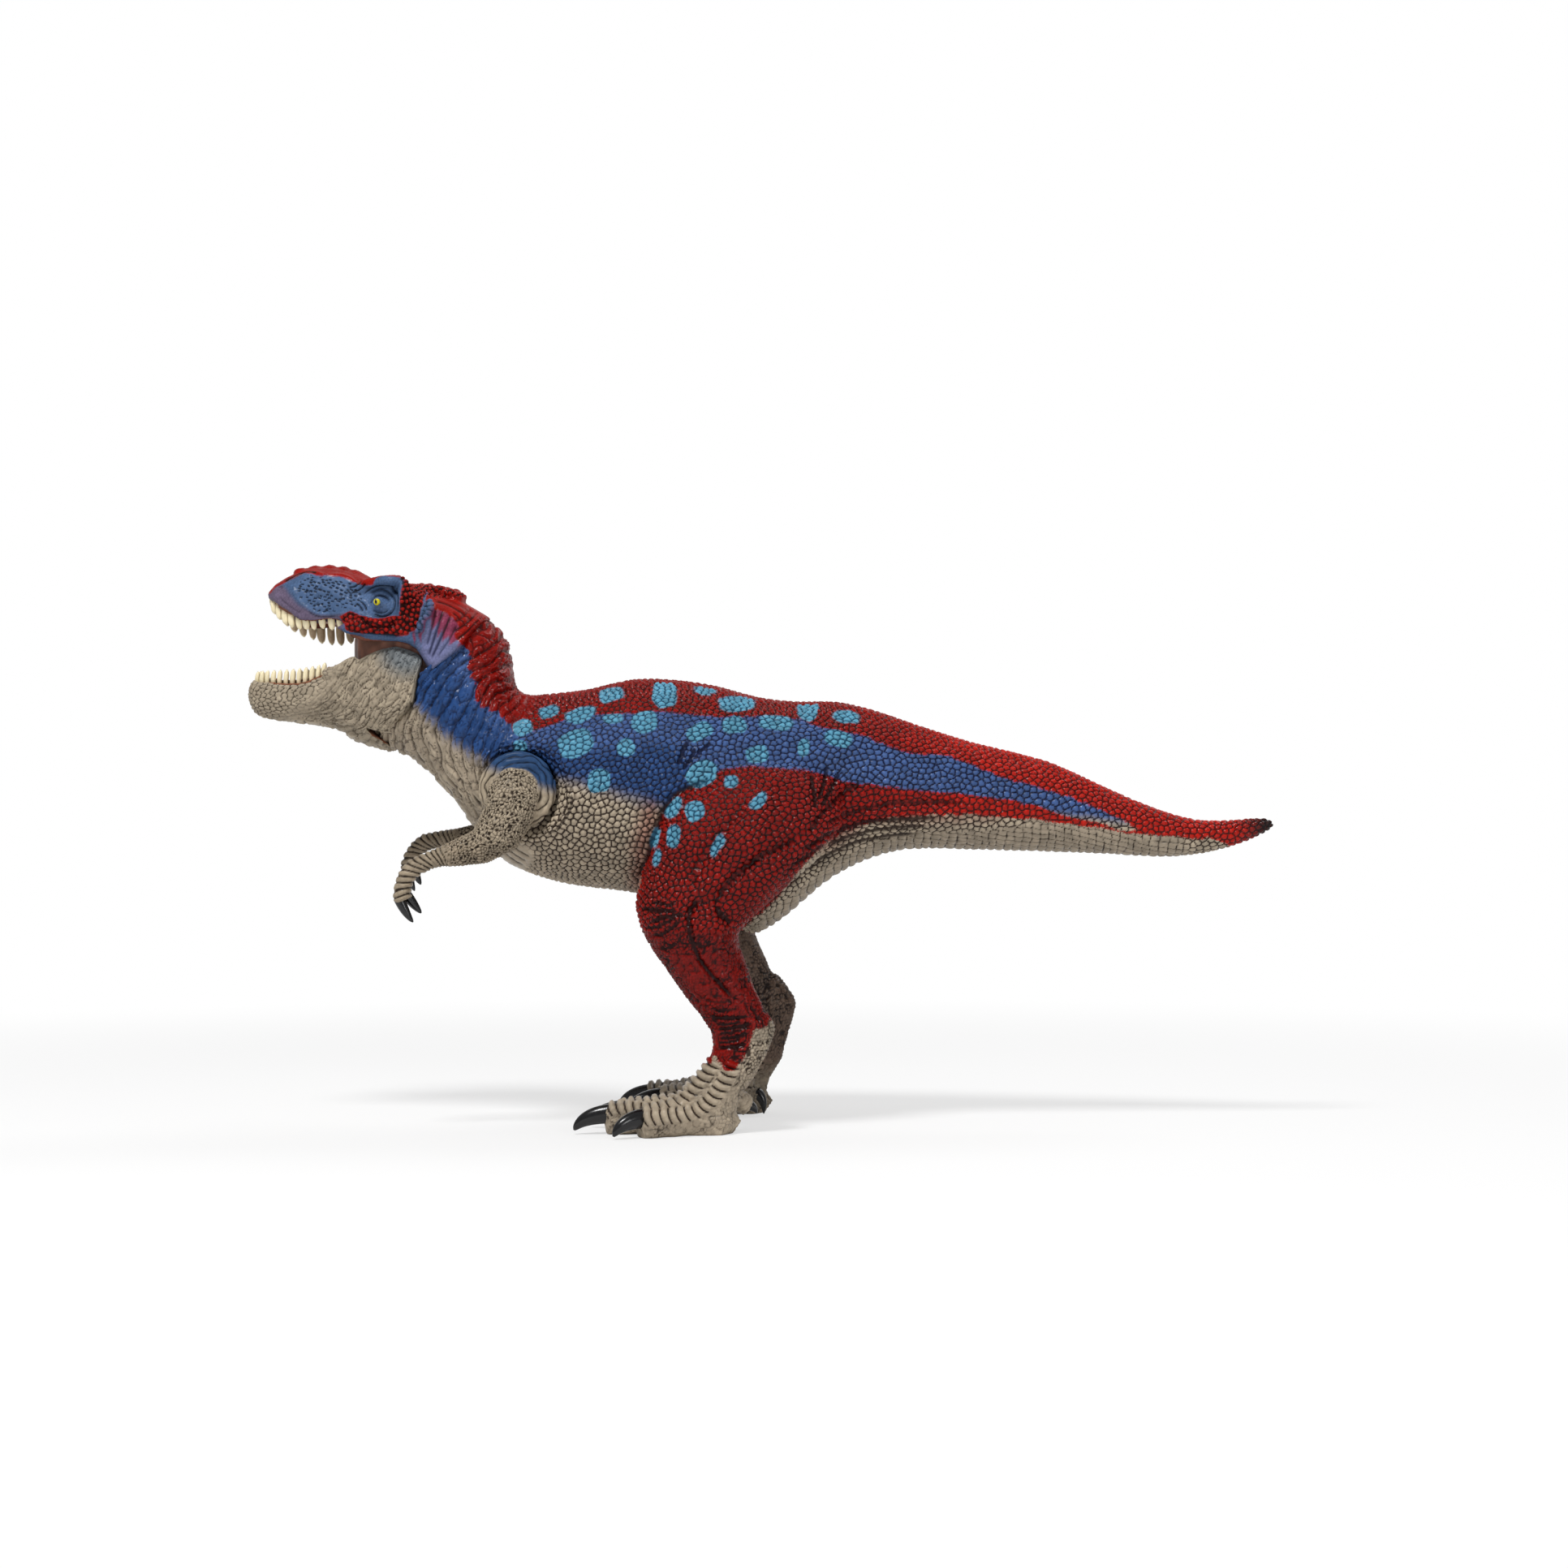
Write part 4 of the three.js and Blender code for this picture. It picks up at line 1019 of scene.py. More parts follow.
@dataclass
class Body:
    """Neck, trunk, tail and legs as one continuous skin; at holds what lies where, vertex by vertex."""

    voxel: float = 0.38
    swell: float = 0.2
    facet_reach: float = 3.0
    scale_height: float = 0.68
    scale_width: float = 1.75
    shank_scale_size: float = 1.15
    fold_depth: float = 1.7
    leg_top: float = 68.0
    shank_top: float = 56.0
    leg_inside: float = 5.0
    tip_start: float = 133.0
    tail_seeds: tuple[int, int] = (Seed.TAIL_LENGTHWISE, Seed.TAIL_CROSSWISE)
    plate_spacing: tuple[float, float] = (2.2, 1.75)
    length_stations: tuple[float, ...] = (-150, -20, 40, 145)
    lengths: tuple[float, ...] = (1.75, 1.75, 2.0, 1.6)
    height_stations: tuple[float, ...] = (-5, 60, 90, 105, 150)
    heights: tuple[float, ...] = (1.4, 1.6, 1.7, 1.4, 1.4)
    plate_edge: tuple[tuple[float, ...], tuple[float, ...]] = (
        (-10, 3, 8.5, 14, 22.9, 33.1, 44.1, 58.3, 75.1, 89.1, 103.2, 120.3, 140),
        (50, 60, 66, 73, 79.5, 82.6, 83.9, 83.9, 82.6, 80.8, 78.8, 77.5, 76),
    )
    shifts: tuple[Shift, ...] = (Shift((-72.5, 136.2), (6, 6), (-1.6, 1.2)),)
    deep: Curve = (
        (-93, 128), (-86, 126), (-80, 118), (-74, 110), (-66, 104), (-56, 103), (-46, 101.5), (-34, 103), (-26, 104),
        (-20, 99), (-16, 93), (-20, 86), (-31, 87), (-45, 91), (-60, 94.5), (-72, 97.5), (-82, 103), (-92, 113),
        (-97, 122),
    )
    red_back: Curve = (
        (-96, 150), (-84.5, 131.5), (-82.3, 130.2), (-79.2, 128.4), (-79.7, 124), (-77.9, 120.7), (-78.1, 117.1),
        (-75, 113.4), (-71.2, 111.6), (-67.5, 107.8), (-64.8, 106.3), (-52.6, 109.8), (-39.4, 111.4), (-26.1, 111.8),
        (-12.8, 110.7), (7.6, 110.5), (17.8, 107.6), (28, 105.4), (38.1, 101.4), (50.8, 99.9), (58.3, 97.4),
        (66.9, 93.9), (75.1, 91.7), (86.4, 88.1), (97.7, 83), (104, 80), (125, 78), (160, 60), (160, 160),
    )
    red_low: Curve = (
        (-10.6, 96.4), (-5.5, 97), (2.9, 96.8), (12.7, 96.1), (22.9, 93.2), (33.1, 91.7), (48.1, 90.3), (66.9, 88.1),
        (80.7, 84.6), (92, 81.5), (102.1, 79.9), (108, 90), (160, 90), (160, 60), (125.8, 76.4), (120.3, 77.5),
        (103.2, 78.8), (89.1, 80.8), (75.1, 82.6), (58.3, 83.9), (44.1, 83.9), (33.1, 82.6), (22.9, 79.5),
        (14, 73), (8.5, 66), (3, 60), (-4.8, 52.5), (-3.5, 44), (-1.5, 36), (2.6, 30.5), (2.6, 27.5), (0.2, 25.6),
        (-2.1, 25.2), (-3.2, 19.6), (-4.8, 15.6), (-7.8, 14.2), (-11, 14.4), (-13, 16.4), (-15, 16), (-24, 22),
        (-28, 40), (-40, 55), (-33.8, 62.9), (-32.3, 69.6), (-30.5, 75.7), (-28.4, 81.1), (-26.5, 85.4),
        (-23.5, 89.6), (-19.9, 91.5), (-16.2, 92.9), (-13.6, 95),
    )
    blue: Curve = (
        (-90, 131), (-92.5, 124), (-96, 119), (-94, 114.5), (-89.6, 110.5), (-85.9, 106.5), (-80.3, 102.7),
        (-76.3, 100.5), (-73.5, 99.2), (-69.5, 98.3), (-64, 96.8), (-58.4, 95.4), (-50.6, 93.9), (-42.7, 91.9),
        (-34.7, 90.3), (-30.7, 89), (-25, 86.5), (-18, 83), (-4, 91), (50, 88), (102.1, 81.6), (108, 84),
        (108, 140), (-60, 150),
    )
    neck_guides: tuple[Curve, ...] = (
        ((-74.4, 137.8), (-78.5, 133.7), (-81.5, 129.7), (-86.6, 123.6), (-91.7, 117), (-94.7, 109.9),
         (-95.8, 103.8), (-92.2, 97.7), (-88.1, 91.6)),
        ((-68.8, 131.7), (-72.9, 129.7), (-77.5, 127.1), (-81, 125.1), (-85.1, 120.5), (-88.6, 114.9),
         (-91.7, 107.8), (-91.2, 100.7), (-87.6, 93.6), (-82.6, 87), (-79, 81.9)),
        ((-67.6, 127.1), (-72.9, 124.1), (-77.5, 120.5), (-81, 116), (-84.1, 109.9), (-86.1, 103.8),
         (-85.6, 97.7), (-82.6, 91.6), (-78.5, 83.9)),
        ((-67.6, 122.1), (-71.9, 120), (-75.9, 117), (-79, 111.9), (-81.5, 106.8), (-82.6, 100.7), (-81, 94.1),
         (-77.5, 86.5)),
        ((-67.3, 118.5), (-70.9, 116.5), (-73.9, 113.4), (-77, 107.8), (-78.5, 102.7), (-78.5, 97.7), (-76.5, 90.5)),
        ((-65.8, 116.5), (-68.8, 113.9), (-71.4, 110.4), (-74.4, 105.3), (-75.9, 100.7), (-75.4, 95.1), (-73.9, 92.6)),
        ((-63.7, 116), (-65.8, 112.4), (-68.8, 107.8), (-71.4, 102.7), (-72.9, 98.7), (-72.9, 94.1)),
    )
    neck_end: Curve = (
        (-60, 125), (-63, 112), (-66, 107), (-69, 102), (-71, 97), (-72, 92), (-76, 84), (-80, 78), (-82, 72),
        (-120, 72), (-120, 150), (-70, 150),
    )
    spots: tuple[tuple[float, float, float, float, float], ...] = (
        (-40.8, 116.6, 3.6, 2, 12), (-26.2, 116.8, 3.4, 3.7, 0), (-15.2, 118, 3.1, 1.3, -5),
        (-6.5, 114.4, 5, 2.3, 4), (12.8, 112.2, 3, 2.5, 0), (23.3, 110.7, 3.7, 1.7, -14),
        (-57.9, 112.1, 3, 1.6, 18), (-49.2, 111.2, 4.2, 2, 15), (-40.5, 110.2, 2.7, 1.3, 8),
        (-32, 109.2, 3.6, 3, 10), (-16.8, 106.5, 3.6, 2.2, 30), (-7.4, 108.3, 3.4, 2.3, 10),
        (4.1, 109.2, 4.6, 2.1, -4), (-50.6, 103.4, 5, 3.6, 22), (-36.9, 102.2, 2.5, 2.4, 0),
        (-1, 100.4, 3.1, 2.5, 10), (11.7, 102.2, 1.7, 2.2, 0), (21.1, 104.7, 4, 2.2, -12),
        (-44.2, 93.2, 3.2, 3.2, 0), (-16.2, 95, 4.4, 3.3, 40), (-8.3, 92.9, 2, 1.8, 0),
        (-0.7, 87.7, 2.9, 1.6, 38), (-23.8, 85.9, 3.3, 1.6, 58), (-18.3, 85, 2.8, 2.8, 30),
        (-29, 77.7, 1.2, 2.9, -12), (-23.8, 78, 1.8, 3, -10), (-28.2, 72.2, 1.1, 2.5, -10),
        (-12, 75.6, 1.4, 3.3, -22), (-64.8, 107.8, 2.6, 2.2, 20), (-65.8, 102.2, 1.8, 2.2, 0),
        (-62.5, 98.5, 1.8, 1.6, 0),
    )
    strokes: tuple[Stroke, ...] = (
        Stroke(((-12.9, 96.9), (-16.2, 92.7), (-19.9, 91.5), (-23.5, 89.6), (-26.5, 85.4), (-28.4, 81.1),
                (-30.5, 75.7), (-32.3, 69.6), (-33.8, 62.9)), -0.8, 0.9, 0.6),
        Stroke(((-1.6, 90.2), (-6.5, 84.8), (-10.1, 80.5), (-13.8, 75.7), (-17.4, 69.6), (-21.1, 62.3)),
               -0.9, 1.5, 0.25),
        Stroke(((12.9, 78.7), (6.9, 75.7), (0.2, 72.6), (-5.3, 68.4), (-10.1, 63.5), (-12.6, 57.5)), -1.2, 1.2, 0.45),
        Stroke(((13.8, 96.3), (14.5, 90.2), (15.1, 85.4)), -0.7, 0.5),
        Stroke(((18.4, 97.5), (17.2, 92.7), (15.7, 87.8)), -0.7, 0.5),
        Stroke(((22, 96.3), (19.6, 91.5), (16.6, 85.4)), -0.6, 0.5),
        Stroke(((28.7, 93.3), (22.6, 89.6), (16, 83), (12.9, 78.1)), -0.9, 0.8, 0.5),
        Stroke(((-19.9, 104.8), (-21.1, 101.8), (-22.3, 97.5)), -0.7, 0.6),
        Stroke(((-18, 103), (-18.6, 100.6), (-21.1, 96.3)), -0.6, 0.5),
        Stroke(((-13.2, 103.6), (-16.2, 101.8), (-18.6, 98.7)), -0.6, 0.5),
        Stroke(((14.1, 78.7), (23.3, 83.9), (32.4, 86.3), (42.6, 87.2), (60, 87)), -0.6, 0.7, 0.5),
        Stroke(((8.1, 71.4), (17.2, 77.5), (26.3, 81.1), (35.4, 82.3), (52, 82.8)), -0.8, 0.7, 0.6),
        Stroke(((3.8, 65.3), (11.1, 71.4), (20.2, 76.3), (32.4, 79.6), (50, 80.8)), -0.7, 0.6, 0.6),
        Stroke(((-0.4, 59.9), (8.1, 65.3), (17.2, 72), (29.3, 76.9), (48, 78.9)), -0.7, 0.6, 0.6),
        Stroke(((-12.3, 59.4), (-17.5, 60.1), (-19.6, 56.4), (-19.6, 51.7), (-17.9, 46.6), (-15.1, 41.9),
                (-10.5, 36.8), (-4.9, 31.4)), -1, 0.7, 0.7),
        Stroke(((-12.3, 59.2), (-10.5, 56.4), (-7.7, 54)), -0.8, 0.8),
        Stroke(((-32.8, 53.1), (-29.1, 53.1), (-25.4, 54.5), (-22.4, 56.6)), -0.5, 0.4, 0.8),
        Stroke(((-31, 51), (-27.2, 51.2), (-23.5, 53.6), (-21.2, 55.4)), -0.5, 0.4, 0.8),
        Stroke(((-28.2, 47.1), (-25.9, 47.3), (-23.5, 48.5)), -0.4, 0.4, 0.8),
        Stroke(((-30.4, 60.4), (-26.4, 59.4), (-22.2, 59.8)), -0.5, 0.4, 0.7),
        Stroke(((-33.8, 58.5), (-28.2, 57.8), (-21.7, 57.5)), -0.6, 0.6),
        Stroke(((-31, 54.5), (-25.4, 55.9), (-20.3, 57.1)), -0.6, 0.6),
        Stroke(((-13.7, 28.4), (-8.1, 28.2), (-2.6, 29.1)), -0.6, 0.5),
        Stroke(((-12.8, 25.2), (-7.7, 25.6), (-2.1, 26.8)), -0.7, 0.5),
        Stroke(((-12.3, 22.8), (-7.7, 23.1), (-3, 24.5)), -0.6, 0.5),
        Stroke(((-12.6, 20.5), (-7.7, 20.5), (-3.5, 21.2)), -0.6, 0.5),
        Stroke(((-13.2, 26.8), (-9.6, 26.6), (-5.2, 27.4)), -0.45, 0.35),
        Stroke(((-12.2, 24), (-8.6, 24.5), (-4.4, 25.4)), -0.45, 0.35),
        Stroke(((-12.9, 21.6), (-9.2, 21.8), (-5, 22.6)), -0.45, 0.35),
        Stroke(((-14.6, 31), (-9.8, 30.4), (-5.6, 31.2)), -0.4, 0.4, 0.6),
        Stroke(((-16.2, 33.4), (-11.4, 32.6), (-7.2, 33.2)), -0.35, 0.4, 0.5),
        Stroke(((-2.8, 32.4), (-1.4, 29.6), (-0.2, 27.2)), -0.45, 0.4, 0.7),
        Stroke(((-4.6, 33.6), (-3.4, 30.4), (-2.2, 27.8)), -0.4, 0.35, 0.6),
        Stroke(((-70.8, 75.9), (-67.6, 73), (-63.6, 70.6)), -0.35, 0.35, 0.5),
        Stroke(((-69.6, 76.3), (-66.2, 73.9), (-62.6, 71.8)), -0.35, 0.35, 0.5),
        Stroke(((-70.6, 73.6), (-67.4, 71.2), (-64.4, 69.6)), -0.35, 0.35, 0.5),
    )
    swellings: tuple[Swelling, ...] = (
        Swelling((-13.5, 51), (7.5, 11), 2, 20),
        Swelling((-22, 80), (8, 16), 1.8, -18),
        Swelling((-4, 81), (8, 15), 1.6, -30),
        Swelling((-26, 57), (6, 6), 1.4, 0),
        Swelling((2, 66), (9, 4.5), 1.4, 40),
    )
    plates: tuple[Plates, ...] = (
        Plates(((-12.1, 17), (-14.2, 14.4), (-16.5, 11.6), (-19.8, 8.4), (-24.5, 5.6), (-31, 4.2), (-37.5, 4.2),
                (-43.1, 3.7)), 2.5, 2.3, 1.5),
        Plates(((-7.2, 16.8), (-8.6, 13.5), (-10.9, 9.8), (-13.7, 6.1), (-17.5, 3.3), (-22.6, 1.9), (-28.2, 1.4),
                (-32.8, 0.9)), 2.5, 2.3, 1.5),
        Plates(((-19.8, 10), (-25.4, 7.5), (-31, 6.5), (-37.5, 7), (-40.8, 7)), 1.3, 2.2, 1),
    )
    claw_paths: tuple[tuple[Place, ...], ...] = (
        ((-39.5, 28.7, 5.4), (-46.5, 29.4, 5.3), (-48.6, 29.4, 1.1)),
        ((-30.3, 37.7, 5.1), (-35.8, 40.9, 5), (-37.5, 42, 0.8)),
        ((-36.1, 17.2, 5.4), (-43.1, 14.3, 5.6), (-45.6, 13.4, 1.7)),
    )
    hind_claws: tuple[tuple[Place, ...], ...] = (
        ((-4.2, -18.2, 6.8), (-1.8, -16.8, 6.6), (-1, -16.2, 4.2)),
        ((-1, 17.4, 6.2), (0.9, 16.8, 4.9), (0.6, 16.2, 0.7)),
    )
    claw_radii: tuple[float, ...] = (2.7, 2.7, 2.6)
    hind_claw_radius: float = 1.7
    claw_room: float = 2.1
    shoulder: tuple[float, float] = (-65.3, 89.4)
    rim: tuple[float, float, float] = (12.2, 15.0, 1.4)
    flushed: tuple[tuple[tuple[float, float], tuple[float, float], float], ...] = (
        ((-31.6, 79), (2.6, 12), -12), ((-33, 67), (3, 5), 0), ((20, 79), (9, 2.6), 28), ((44, 84.2), (22, 1.6), 0),
    )
    hind_toes: tuple[tuple[Place, float, int, float, float], ...] = (
        ((7, 16.5, 6.5), 10.5, 0, -7.4, 0.6), ((0.5, -16.5, 4.5), 6, 0, -1.6, 0.6),
    )
    hock: tuple[Place, Place, int, float, float] = ((8.0, 26.0, 29.0), (10.0, 22.0, 14.0), 2, 3.8, 0.9)
    heel_rounds: int = 80
    membrane: Curve = oval((-66.5, 72.3), (5.0, 4.0))

    skin: Skin = field(init=False)
    at: SimpleNamespace = field(init=False)

    def build(self) -> None:
        """Makes the skin, its relief and its paint, and the claws of the feet."""
        self.skin = Skin(("trunk", "left_leg", "right_leg"), self.voxel, grow=self.swell)
        self.at = SimpleNamespace()
        log.info("body: %d vertices", len(self.skin.co))
        self.shape()
        self.shape_heels()
        claws = self.claws()
        covered = np.maximum.reduce([tuck(self.skin, path, radius * self.claw_room) for _, path, radius in claws])
        for _ in range(8):
            self.skin.co += (self.skin.blurred(self.skin.co) - self.skin.co) * covered[:, None]
        self.at.free = ease(self.skin.co[:, 2], 0.15, 1.0) * (1 - covered)
        self.survey()
        self.draw_lines()
        self.press_folds()
        self.press_scales()
        self.spray()
        self.skin.finish("body_skin", "root", "red_vinyl", BODY_VINYL.build())
        horn = HORN.build()
        for name, places, radius in claws:
            claw = make_claw(name, places, radius, horn)
            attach(claw, "root")

    def unstepped(self) -> Array:
        """Places of the skin as if the right leg stood beside the left one."""
        level = self.skin.co.copy()
        back = STEP_BACK * np.clip(1 - level[:, 2] / HIP_HEIGHT, 0, 1)
        level[:, 0] -= np.where(level[:, 1] > 0, back, 0.0)
        return level

    def claws(self) -> list[tuple[str, list[Place], float]]:
        """Names, places and base radii of the claws on both feet."""
        rows = []
        for side, name in SIDES:
            shift = STEP_BACK if side > 0 else 0.0
            for number, (path, radius) in enumerate(zip(self.claw_paths, self.claw_radii)):
                rows.append((f"{name}_foot_claw_{number + 1}", [(x + shift, side * y, z) for x, y, z in path], radius))
            rows.append((f"{name}_hind_claw", list(self.hind_claws[side > 0]), self.hind_claw_radius))
        return rows

    def shape(self) -> None:
        """Takes the facets out and laps the skin over the seam of the neck."""
        level = self.unstepped()
        flat = STENCIL.flat(level)
        foot = self.at.foot = ease(20 - level[:, 2], 0, 8)
        tail = self.at.tail = ease(self.skin.co[:, 0], 60, 130)
        to_seam = SEAM.distance(flat)
        rounds = int(self.facet_reach**2 / self.voxel**2)
        self.skin.even(rounds, (1 - 0.9 * foot - 0.6 * tail * (1 - foot)) * (1 - 0.9 * bell(to_seam, 3.5)))
        for shift in self.shifts:
            shift.apply(self.skin)
        SEAM.lap(self.skin, flat, to_seam, -1)

    def shape_heels(self) -> None:
        """Draws in the hind toes, fills the right hock and levels the soles with the ground."""
        for place, reach, axis, move, top in (*self.hind_toes, self.hock):
            near = lump(self.skin.co, place, reach)
            self.skin.co[:, axis] += move * ease(near, 0.0, top)
            self.skin.even(self.heel_rounds, ease(near, 0.0, 0.3) * 0.9)
        self.skin.co[:, 2] = np.maximum(self.skin.co[:, 2], 0.0)

    def survey(self) -> None:
        """Measures what lies where on the skin: shares from 0 to 1, but for the places and directions."""
        at, beside = self.at, np.abs(self.skin.co[:, 1])
        at.level = self.unstepped()
        at.flat = STENCIL.flat(at.level)
        at.normals = self.skin.normals()
        at.outward = np.sign(self.skin.co[:, 1]) * at.normals[:, 1]
        at.sideways = ease(np.abs(at.normals[:, 1]), 0.0, 0.4)
        at.legs = ease(self.leg_top - at.level[:, 2], 0, 6) * (beside > self.leg_inside)
        at.neck = ease(depth_in(self.neck_end, at.flat), -2.0, 4.0)

    def draw_lines(self) -> None:
        """Works out the single folds, the muscles and the plates of the toes, with the dark paint in them."""
        at = self.at
        relief, dark = drawn(self.strokes, at.flat)
        relief += sum(swelling.relief(at.flat) for swelling in self.swellings)
        outer = at.sideways * np.where(at.legs > 0.5, ease(at.outward, -0.1, 0.2), 1.0)
        at.relief, at.dark = relief * outer, dark * outer
        at.plated = np.zeros(len(at.flat))
        upper = ease(at.normals[:, 2] + np.abs(at.normals[:, 1]), 0.2, 0.8)
        for row in self.plates:
            height, furrow, cover = row.relief(at.flat)
            at.relief = at.relief * (1 - cover * upper) + height * upper
            at.dark = np.maximum(at.dark * (1 - cover * upper), furrow * upper)
            at.plated = np.maximum(at.plated, cover * upper)

    def press_folds(self) -> None:
        """Presses the lines, the folds of the neck and the rims of the shoulders."""
        at, neck = self.at, self.at.neck
        folds = FoldField(self.neck_guides, 2.6, 5.0, Seed.NECK_FOLDS, 0.7, 0.5)
        at.wave, creases, at.shades = folds.wrinkles(at.flat, self.skin.co, np.flatnonzero(neck > 0.001))
        fine = Ripple(Seed.NECK_GRAIN).at(self.skin.co * np.array((1.0, 1.0, 0.35)), 0.9)
        relief = at.relief * (1 - 0.7 * neck) + ((at.wave - 1) * self.fold_depth + 0.1 * fine) * neck
        rim, rim_dark = self.shoulder_rim(at.flat)
        relief += rim * at.sideways
        self.skin.push(relief * at.free)
        at.dark = np.maximum.reduce([at.dark * (1 - neck), creases * neck, rim_dark * at.sideways])

    def press_scales(self) -> None:
        """Presses the scales and paints their furrows and tones."""
        log.info("body: scales")
        at, skin = self.at, self.skin
        at.shank = ease(self.shank_top - at.level[:, 2], 0, 6) * (np.abs(skin.co[:, 1]) > self.leg_inside)
        membrane = ease(depth_in(self.membrane, at.flat), -1.0, 1.5) * 0.8
        smooth = np.maximum.reduce([at.neck * 0.9, at.plated, at.foot * 0.35, membrane])
        coarse = Scales(self.grain(skin.co), Seed.BODY_SCALES)
        height, furrows, tone = coarse.relief(0.26, 0.75), coarse.furrow(0.19), coarse.tone
        self.roughen_shanks(height, furrows, tone)
        tiles, at.under = self.tail_plates(skin.co, at.flat)
        height += (tiles - height) * at.under
        furrows += (np.clip(0.9 - tiles * 1.3, 0, 1) - furrows) * at.under
        amount = self.scale_height * (1 - smooth) * (1 - 0.45 * at.shank) * (1 - 0.3 * at.tail)
        skin.push((height - 1) * amount * at.free)
        skin.paint("groove", np.maximum(furrows * (1 - smooth) * 0.95, at.dark))
        skin.paint("tone", tone * (1 - at.neck) + at.shades * at.neck)

    def roughen_shanks(self, height: Array, furrows: Array, tone: Array) -> None:
        """Changes the scales of the shanks to small patchy ones with worm-like furrows, in place.

        Args:
            height: of the scales, from 0 to 1.
            furrows: dark paint between them, from 0 to 1.
            tone: of each scale.
        """
        low = np.flatnonzero(self.at.shank > 0.001)
        places, share = self.skin.co[low], self.at.shank[low]
        small = Scales(places / self.shank_scale_size, Seed.SHANK_SCALES, 0, 0.7)
        specks = 0.5 * Ripple(Seed.SHANK_SPECKS).at(places, 1.6)
        patchy = 0.6 + 0.4 * ease(Ripple(Seed.SHANK_PATCHES).at(places, 5.0) + specks, -0.5, 0.6)
        height[low] += (1 - patchy * (1 - small.relief(0.3, 0.5)) - height[low]) * share
        furrows[low] += (small.furrow(0.3) * patchy * 0.6 - furrows[low]) * share
        worms = 1 - ease(np.abs(Ripple(Seed.SHANK_WORMS).at(places, 1.5)), 0.0, 0.2)
        height[low] -= worms * 1.1 * share
        furrows[low] = np.maximum(furrows[low], worms * patchy * 0.9 * share)
        tone[low] += (small.tone - tone[low]) * share

    def spray(self) -> None:
        """Paints the coats with slightly uneven edges, and the painted shade."""
        at, skin = self.at, self.skin
        flat = STENCIL.flat(self.unstepped())
        flat = flat + wobble(skin.co, Seed.BODY_EDGES, 2, 2.2, 0.45)
        low_red = depth_in(self.red_low, flat)
        rim = np.where(skin.co[:, 1] > 0, -0.1, 0.25)
        low_red = np.where(at.legs > 0, np.minimum(low_red, (at.outward + rim) * 8), low_red)
        low_red -= ease(21 - flat[:, 1], 0, 2) * (0.7 + Ripple(Seed.SHIN_FADE).at(skin.co, 1.7) * 1.4)
        # Paint runs along the folds of the neck and misses their furrows
        runs = (at.wave - 0.55) * at.neck * at.sideways
        red = np.maximum(depth_in(self.red_back, flat) + 2.2 * runs, low_red)
        skin.paint("red", red)
        skin.paint("scarlet", np.minimum(red, (skin.co[:, 0] - 40) / 60))
        skin.paint("blue", depth_in(self.blue, flat) + 3.0 * runs)
        skin.paint("deep", depth_in(self.deep, flat) + 3.0 * runs)
        # Painted shade: the inner faces of the legs, which face each other, take a dark brown coat
        inner = np.minimum((0.1 - at.outward) * 10, (at.level[:, 2] - 12) * 0.5)
        skin.paint("inner", np.where(at.legs > 0.5, inner, UNPAINTED))
        spot = np.full(len(flat), UNPAINTED)
        for u, w, a, b, turn in self.spots:
            first, second = oval_axes(flat, (u, w), (a, b), turn)
            reach = (np.abs(first) ** 2.6 + np.abs(second) ** 2.6) ** (1 / 2.6)
            spot = np.maximum(spot, (1 - reach) * min(a, b))
        edge = np.where(at.legs > 0, at.outward * 8, (np.abs(at.normals[:, 1]) - 0.3) * 8)
        skin.paint("cyan", np.minimum(spot, edge))
        skin.paint("tip", flat[:, 0] - self.tip_start)
        skin.paint("flush", np.maximum.reduce([depth_in(oval(*place), flat) for place in self.flushed]))
        # Painted shade: darker on faces turned down, on the inner faces of the legs, on the shanks under the thighs and
        # on the plates under the tail
        shade = ease(-at.normals[:, 2], 0.3, 0.95) * 0.5 + at.legs * ease(0.3 - at.outward, 0.0, 0.5)
        skin.paint("dull", np.clip(shade + 0.45 * at.shank * (at.level[:, 2] > 24) + 0.4 * at.under, 0, 1))

    def shoulder_rim(self, flat: Array) -> tuple[Array, Array]:
        """Makes the folds that ring the upper half of a shoulder.

        Args:
            flat: places in the side view.

        Returns:
            Their height in millimetres, and the dark paint between them from 0 to 1.
        """
        across, up = flat[:, 0] - self.shoulder[0], flat[:, 1] - self.shoulder[1]
        radius = np.hypot(across, up)
        turn = np.degrees(np.arctan2(up, across))
        sector = ease(turn, -75, -45) * (1 - ease(turn, 120, 150))
        radius = radius + 0.35 * np.sin(np.radians(turn) * 5)
        ring = ease(radius, self.rim[0] - 0.6, self.rim[0]) * (1 - ease(radius, self.rim[1] - 2, self.rim[1]))
        wave = np.abs(np.sin(np.pi * (radius - self.rim[0]) / self.rim[2]))
        return sector * ring * (wave**0.8 * 0.9 - 0.2), sector * ring * (1 - wave) ** 1.6 * 0.7

